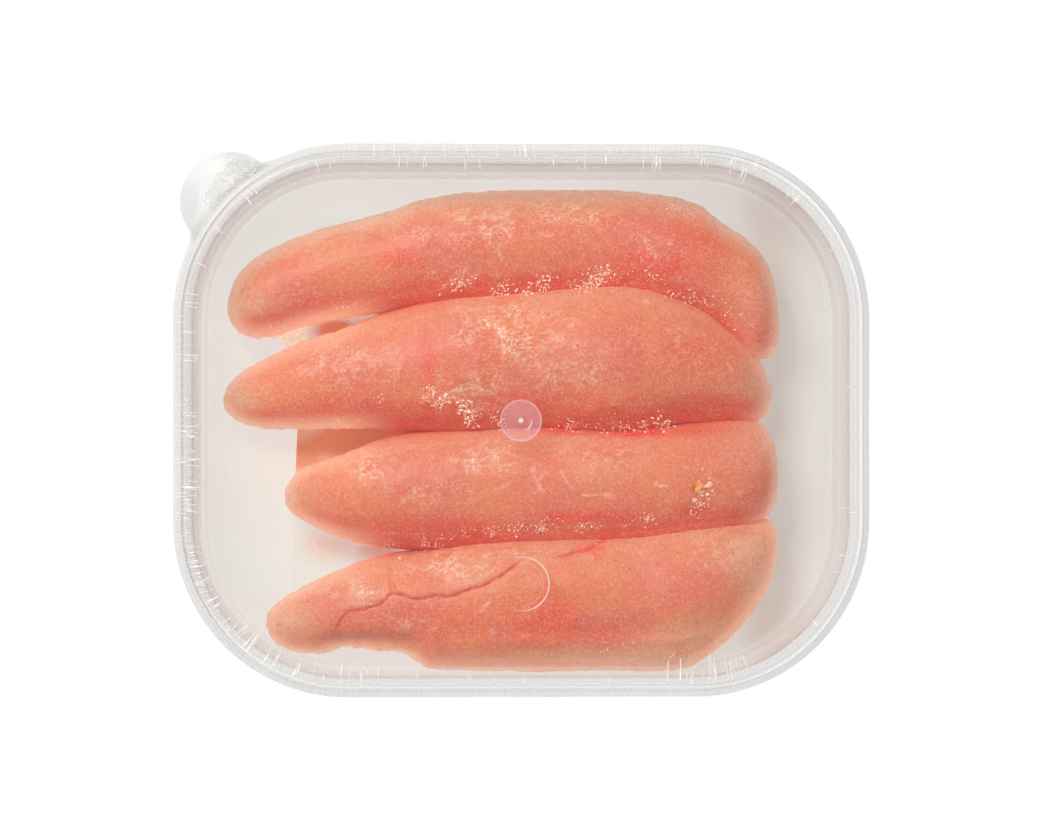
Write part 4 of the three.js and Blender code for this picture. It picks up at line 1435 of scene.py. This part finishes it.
# painted highlights on the gate's edge, on its nub and on an arc inside it
gate_edge_glint = lid_finish.band(gate_off, GATE_RADIUS - 0.3, GATE_RADIUS - 0.05, 0.15) * 0.4
nub = 1 - lid_finish.step(gate_off, NUB_RADIUS - 0.75, NUB_RADIUS - 0.2)
mark_off = ((lid_x - MARK_CENTRE[0]) ** 2.0 + (lid_y - MARK_CENTRE[1]) ** 2.0) ** 0.5
# the ring marks get a painted highlight, on the right-hand side only
marks = lid_finish.band(mark_off, 5.75, 5.95, 0.15) + lid_finish.band(mark_off, 4.6, 4.7, 0.12) * 0.5
marks = marks * (lid_finish.step(lid_x, -4, 4) * 0.92 + 0.08)
gate_glint = lid_finish.band(gate_off, 2.3, 2.5, 0.2) * lid_finish.step(lid_x, 0.9, 1.8)
gate_glint = gate_glint * (1 - lid_finish.step(lid_y, -0.6, 0.4)) * 0.7
# all the painted highlights, mixed to near white and made more opaque
painted_highlight = (gleam + gate_edge_glint + nub + marks + gate_glint).clamp()
# the painted glow is stronger at the right
rim_right = lid_finish.step(lid_x, 30, 74) * 0.6 + 0.4
lid_tint = lid_finish.mix(grazing(lid_finish), rgb(192, 182, 174), rgb(250, 246, 241))
lid_tint = lid_finish.mix(gate, lid_tint, rgb(236, 198, 208))
lid_tint = lid_finish.mix(rim_part * 0.7, lid_tint, rgb(168, 154, 148))
# the plug wall's pinkish brown is painted shade, also used for the panel's edge
plug_shade_colour = rgb(188, 160, 148)
lid_tint = lid_finish.mix(tab_part, lid_tint, rgb(188, 186, 180))
lid_tint = lid_finish.mix(plug, lid_tint, plug_shade_colour)
lid_finish.set("Base Color", lid_finish.mix(painted_highlight, lid_tint, rgb(255, 253, 250)))
# painted glow: emission on walls seen edge on
glow_share = grazing(lid_finish) * rim_right * (1 - sunny * 0.4)
lid_finish.set("Emission Color", lid_finish.mix(glow_share, BLACK, WALL_GLOW))
milk = rim_part * (0.38 - sunny * 0.15) + tab_part * 0.36 + plug * (0.24 - sunny * 0.19)
milk = milk + gate * 0.22 + gleam * 0.3 + painted_highlight * 0.45
lid_finish.set("Alpha", (opaqueness(lid_finish) + milk).clamp())
print("lid finish", len(lid_finish.nodes), "nodes")

# %% [markdown]
# The film is so thin that it shows only where it folds or turns edge on: pleats painted white as
# highlights, with a painted glow, a grey skirt with painted shade at the right, a thin ridge line on top
# of the rim painted dark as shade, and a painted highlight line beside it at the right and front.

# %% Film finish
film_finish = Finish("film_clear", Roughness=PLASTIC_ROUGHNESS, Specular_IOR_Level=0.3,
                     Emission_Strength=1.0)
fold_glint = film_finish.attribute("fold").clamp()
film_height = film_finish.axis("Z")
over_bead = film_finish.step(film_height, 26.8, 27.6)
skirt = over_bead * (1 - film_finish.step(film_height, 33.0, 33.9))
film_inset = inset_wire(film_finish)
flat_top = film_finish.step(film_height, 33.9, 34.2)
film_x = film_finish.axis("X")
film_y = film_finish.axis("Y")
film_right = film_finish.step(film_x, 30, 74)
film_front = film_finish.step(film_y * -1.0, 30, 56)
film_ends = film_finish.step((film_y ** 2.0) ** 0.5, 40, 58)
at_tab = film_finish.step(film_y - film_x, 111, 116)
skirt = skirt * film_finish.step(film_inset, -1.8, -1.2) * (1 - at_tab * 0.8)
ridge_inset = film_inset + film_right * 1.2 + film_ends * 0.4 + 0.15
over_rim = film_finish.step(film_height, 31.5, 32.0)
# a thin dark line on the rim's shoulder: painted shade, weaker at the right, front and ends
ridge = film_finish.band(ridge_inset, 1.6, 1.8, 0.12) * over_rim
ridge_strength = (0.3 - film_right * 0.1 - film_front * 0.16 - film_ends * 0.06).clamp()
ridge = ridge * ridge_strength * (1 - at_tab * 0.7)
# a painted highlight line beside it at the right and front
ridge_light = film_finish.band(ridge_inset, 2.0, 2.3, 0.1) * over_rim * (film_right + film_front).clamp()
# the skirt is painted darker at the right: painted shade
skirt_shade_tint = film_finish.mix(film_right, rgb(182, 179, 172), rgb(128, 125, 118))
film_tint = film_finish.mix(skirt, rgb(196, 188, 182), skirt_shade_tint)
film_tint = film_finish.mix((ridge * 4.0).clamp(), film_tint, rgb(130, 124, 118))
# pleats and the highlight line are painted white, with a painted glow
painted_film_glints = (fold_glint + ridge_light).clamp()
film_finish.set("Base Color", film_finish.mix(painted_film_glints, film_tint, rgb(255, 255, 253)))
film_finish.set("Emission Color", film_finish.mix(painted_film_glints, BLACK, rgb(120, 120, 118)))
film_veil = over_bead * 0.04 + skirt * 0.38 + ridge + ridge_light * 0.3 + flat_top * 0.09
film_alpha = film_veil + fold_glint * 0.85
film_finish.set("Alpha", film_alpha.clamp())
print("film finish", len(film_finish.nodes), "nodes")

# %% [markdown]
# The panel has a satin finish of its own, with few nodes, because most of the picture is seen through
# it. A band along its edge is painted with shade, stronger at the back. Undersides are left quite clear,
# so that each wall is counted once. Faces get these two finishes by a test on where they lie and which
# way they look.

# %% Panel, undersides and handing over
panel_finish = Finish("lid_panel", Roughness=PLASTIC_ROUGHNESS)
# a band along the panel's edge is painted with shade, stronger at the back
panel_edge_shade = panel_finish.band(inset_wire(panel_finish), 6.0, 6.8, 0.35)
panel_finish.set("Base Color", panel_finish.mix(panel_edge_shade, rgb(192, 182, 174), plug_shade_colour))
panel_back = panel_finish.step(panel_finish.axis("Y"), 20, 46) * 0.18 + 0.1
panel_finish.set("Alpha", opaqueness(panel_finish) + panel_edge_shade * panel_back)
under_finish = Finish("clear_underside", Roughness=PLASTIC_ROUGHNESS, Alpha=0.0)


def finish_faces(piece, finish, wanted):
    """Give the faces of a piece that pass a test a finish of their own."""
    piece.data.materials.append(finish)
    chosen = [face for face in piece.data.polygons if wanted(face)]
    for face in chosen:
        face.material_index = len(piece.data.materials) - 1
    print(piece.name, finish.name, len(chosen), "faces")


def looks_down(face):
    """A face that only the underside shows."""
    return face.normal.z <= 0.01


def on_panel(face):
    """The flat of the lid's panel. The gate's dimple lies lower."""
    return face.normal.z > 0.99 and abs(face.center.z / MM - PANEL_TOP) < 0.01


hand_over(tub, "tub", tub_finish.material)
finish_faces(tub, under_finish.material, looks_down)
hand_over(lid, "lid", lid_finish.material)
finish_faces(lid, panel_finish.material, on_panel)
finish_faces(lid, under_finish.material, looks_down)
hand_over(film, "film_band", film_finish.material)
hand_over(crumpled, "film_band", film_finish.material)

# %% [markdown]
# ## Finish of the sheet
#
# The sheet is off-white and damp. Where the roe's liquid has soaked in it is stained, from pink beside
# the sacs to strong orange between the two middle ones. The stains are spots on the mesh, and the
# finish blends colours by them. A painted glow, set by the same stains, stands in for the light that
# shines up through the damp sheet between the sacs.

# %% Sheet finish
STAINS = [
    (340, 345, 70, 60, 0.85), (360, 440, 160, 55, 1.3), (300, 455, 70, 50, 1.1), (440, 545, 95, 34, 1.2),
    (380, 552, 60, 26, 0.8), (400, 330, 120, 40, 1.1), (335, 328, 46, 26, 1.3),
    (335, 546, 62, 30, 0.5),
]
sheet_points, _ = read_mesh(sheet)
stain_values = near_spots(sheet_points[:, :2], STAINS)
sheet.data.attributes.new("stain", "FLOAT", "POINT").data.foreach_set("value", stain_values)
sheet_finish = Finish("sheet_damp", Roughness=0.5)
blotch = sheet_finish.noise(180.0, 4.0) * 0.5 + 0.75
stain = (sheet_finish.attribute("stain") * blotch).clamp()
PINK_STAIN = 0.35
tint = sheet_finish.ramp(stain, (0.0, rgb(214, 204, 188)), (PINK_STAIN, rgb(222, 172, 140)),
                         (1.0, rgb(228, 148, 106)))
# the emission is a painted glow, stronger where the sheet is stained
glow = sheet_finish.ramp(stain, (0.0, rgb(60, 56, 52)), (PINK_STAIN, rgb(124, 92, 74)),
                         (1.0, rgb(104, 66, 48)))
sheet_finish.set("Base Color", tint)
sheet_finish.set("Emission Color", glow)
sheet_finish.set("Emission Strength", 1.0)
sheet_fades = sheet_finish.step(sheet_finish.axis("X"), 30, 56)
sheet_fades = (sheet_fades + sheet_finish.step(sheet_finish.axis("Y"), 26, 42)).clamp()
sheet_finish.set("Alpha", ((stain * 0.95 + 0.05) * (1 - sheet_fades)).clamp())
weave = sheet_finish.noise(2500.0, 2.0)
sheet_finish.bump(weave, 0.1 * MM, 0.4)
hand_over(sheet, "drip_sheet", sheet_finish.material)

# %% [markdown]
# ## Finish of the roe
#
# The membrane is moist and lets light in. Its broad colours, from pale peach to a deep red in the
# folds, with painted light and shade among them, were painted on the mesh together with its shape, and
# so was a painted glow that stands in for the light that comes through at the thin sides. The finish
# reads both. Cells and fine noise draw the eggs, curled strokes the frost and painted glints on the
# crinkled skin, and subsurface scattering softens the shadows.

# %% Roe finish
EGG_SIZE = 0.5


def roe_finish():
    """The skin of a roe sac, driven by the values that its mesh carries."""
    finish = Finish("roe_skin")
    finish.set("Subsurface Weight", 0.3)
    finish.set("Subsurface Radius", (1.0, 0.35, 0.2))
    finish.set("Subsurface Scale", 2.5 * MM)
    finish.set("Specular IOR Level", 0.3)
    flesh = finish.colour("flesh")
    egg_place = {"Vector": finish.place(), "Scale": 1 / (EGG_SIZE * MM)}
    eggs = finish.node("ShaderNodeTexVoronoi", None, egg_place)
    fine = finish.noise(1300.0, 1.0)
    grit = (eggs * eggs * 0.5 + fine * 0.6 - 0.22).clamp()
    flesh = finish.mix(grit, flesh, rgb(228, 96, 70))
    grain = finish.step(finish.noise(1900.0, 0.0), 0.5, 0.68)
    curl = (1 - abs(finish.noise(900.0, 1.0, 0.6) - 0.5) * 12.0).clamp()
    # frost and painted glints: white strokes on the crinkled skin
    frost = finish.attribute("wrinkle") + curl * finish.attribute("stroke")
    frost = frost * (grain * 0.4 + 0.6) + grain * 0.12
    flesh = finish.mix(frost.clamp(), flesh, rgb(255, 224, 198))
    finish.set("Base Color", flesh)
    finish.set("Emission Color", finish.colour("inner"))
    finish.set("Emission Strength", 1.0)
    finish.set("Roughness", grain * 0.25 + 0.35)
    finish.bump(eggs * -0.4 + fine * 0.9 + curl * 0.3, 0.1 * MM, 0.6)
    return finish.material


skin = roe_finish()
for index, sac in enumerate(sacs, start=1):
    hand_over(sac, f"roe_sac_{index}", skin)

# %% [markdown]
# ## Finish of the crystals
#
# Salt and ice are clear, and scatter so much light at their edges that they look white; they also get a
# faint painted glow. Those that have soaked up colour look golden. The crumbs on the floor are flakes of
# loose eggs, cream and dull, with a painted glow.

# %% Crystal finishes
# the salt's emission is a faint painted glow
salt_finish = Finish("salt_white", Roughness=0.1, Emission_Color=rgb(96, 84, 76), Emission_Strength=1.0)
salt_share = salt_finish.step(salt_finish.noise(1400.0, 1.0), 0.4, 0.62)
salt_finish.set("Base Color", salt_finish.mix(salt_share, rgb(250, 184, 156), rgb(255, 236, 220)))
gold_finish = Finish("salt_gold", Roughness=0.2)
gold_share = gold_finish.step(gold_finish.noise(900.0, 1.0), 0.4, 0.6)
gold_finish.set("Base Color", gold_finish.mix(gold_share, rgb(248, 176, 110), rgb(240, 136, 66)))
# the crumbs' emission is a painted glow
crumb_finish = Finish("crumb_cream", Roughness=0.4, Emission_Color=rgb(134, 130, 124), Emission_Strength=1.0)
crumb_share = crumb_finish.noise(600.0, 2.0)
crumb_finish.set("Base Color", crumb_finish.mix(crumb_share, rgb(246, 244, 238), rgb(236, 226, 210)))
hand_over(crystals, None, salt_finish.material)
hand_over(loose, None, salt_finish.material)
hand_over(pale_crystals, None, salt_finish.material)
hand_over(gold, None, gold_finish.material)
hand_over(crumbs, None, crumb_finish.material)
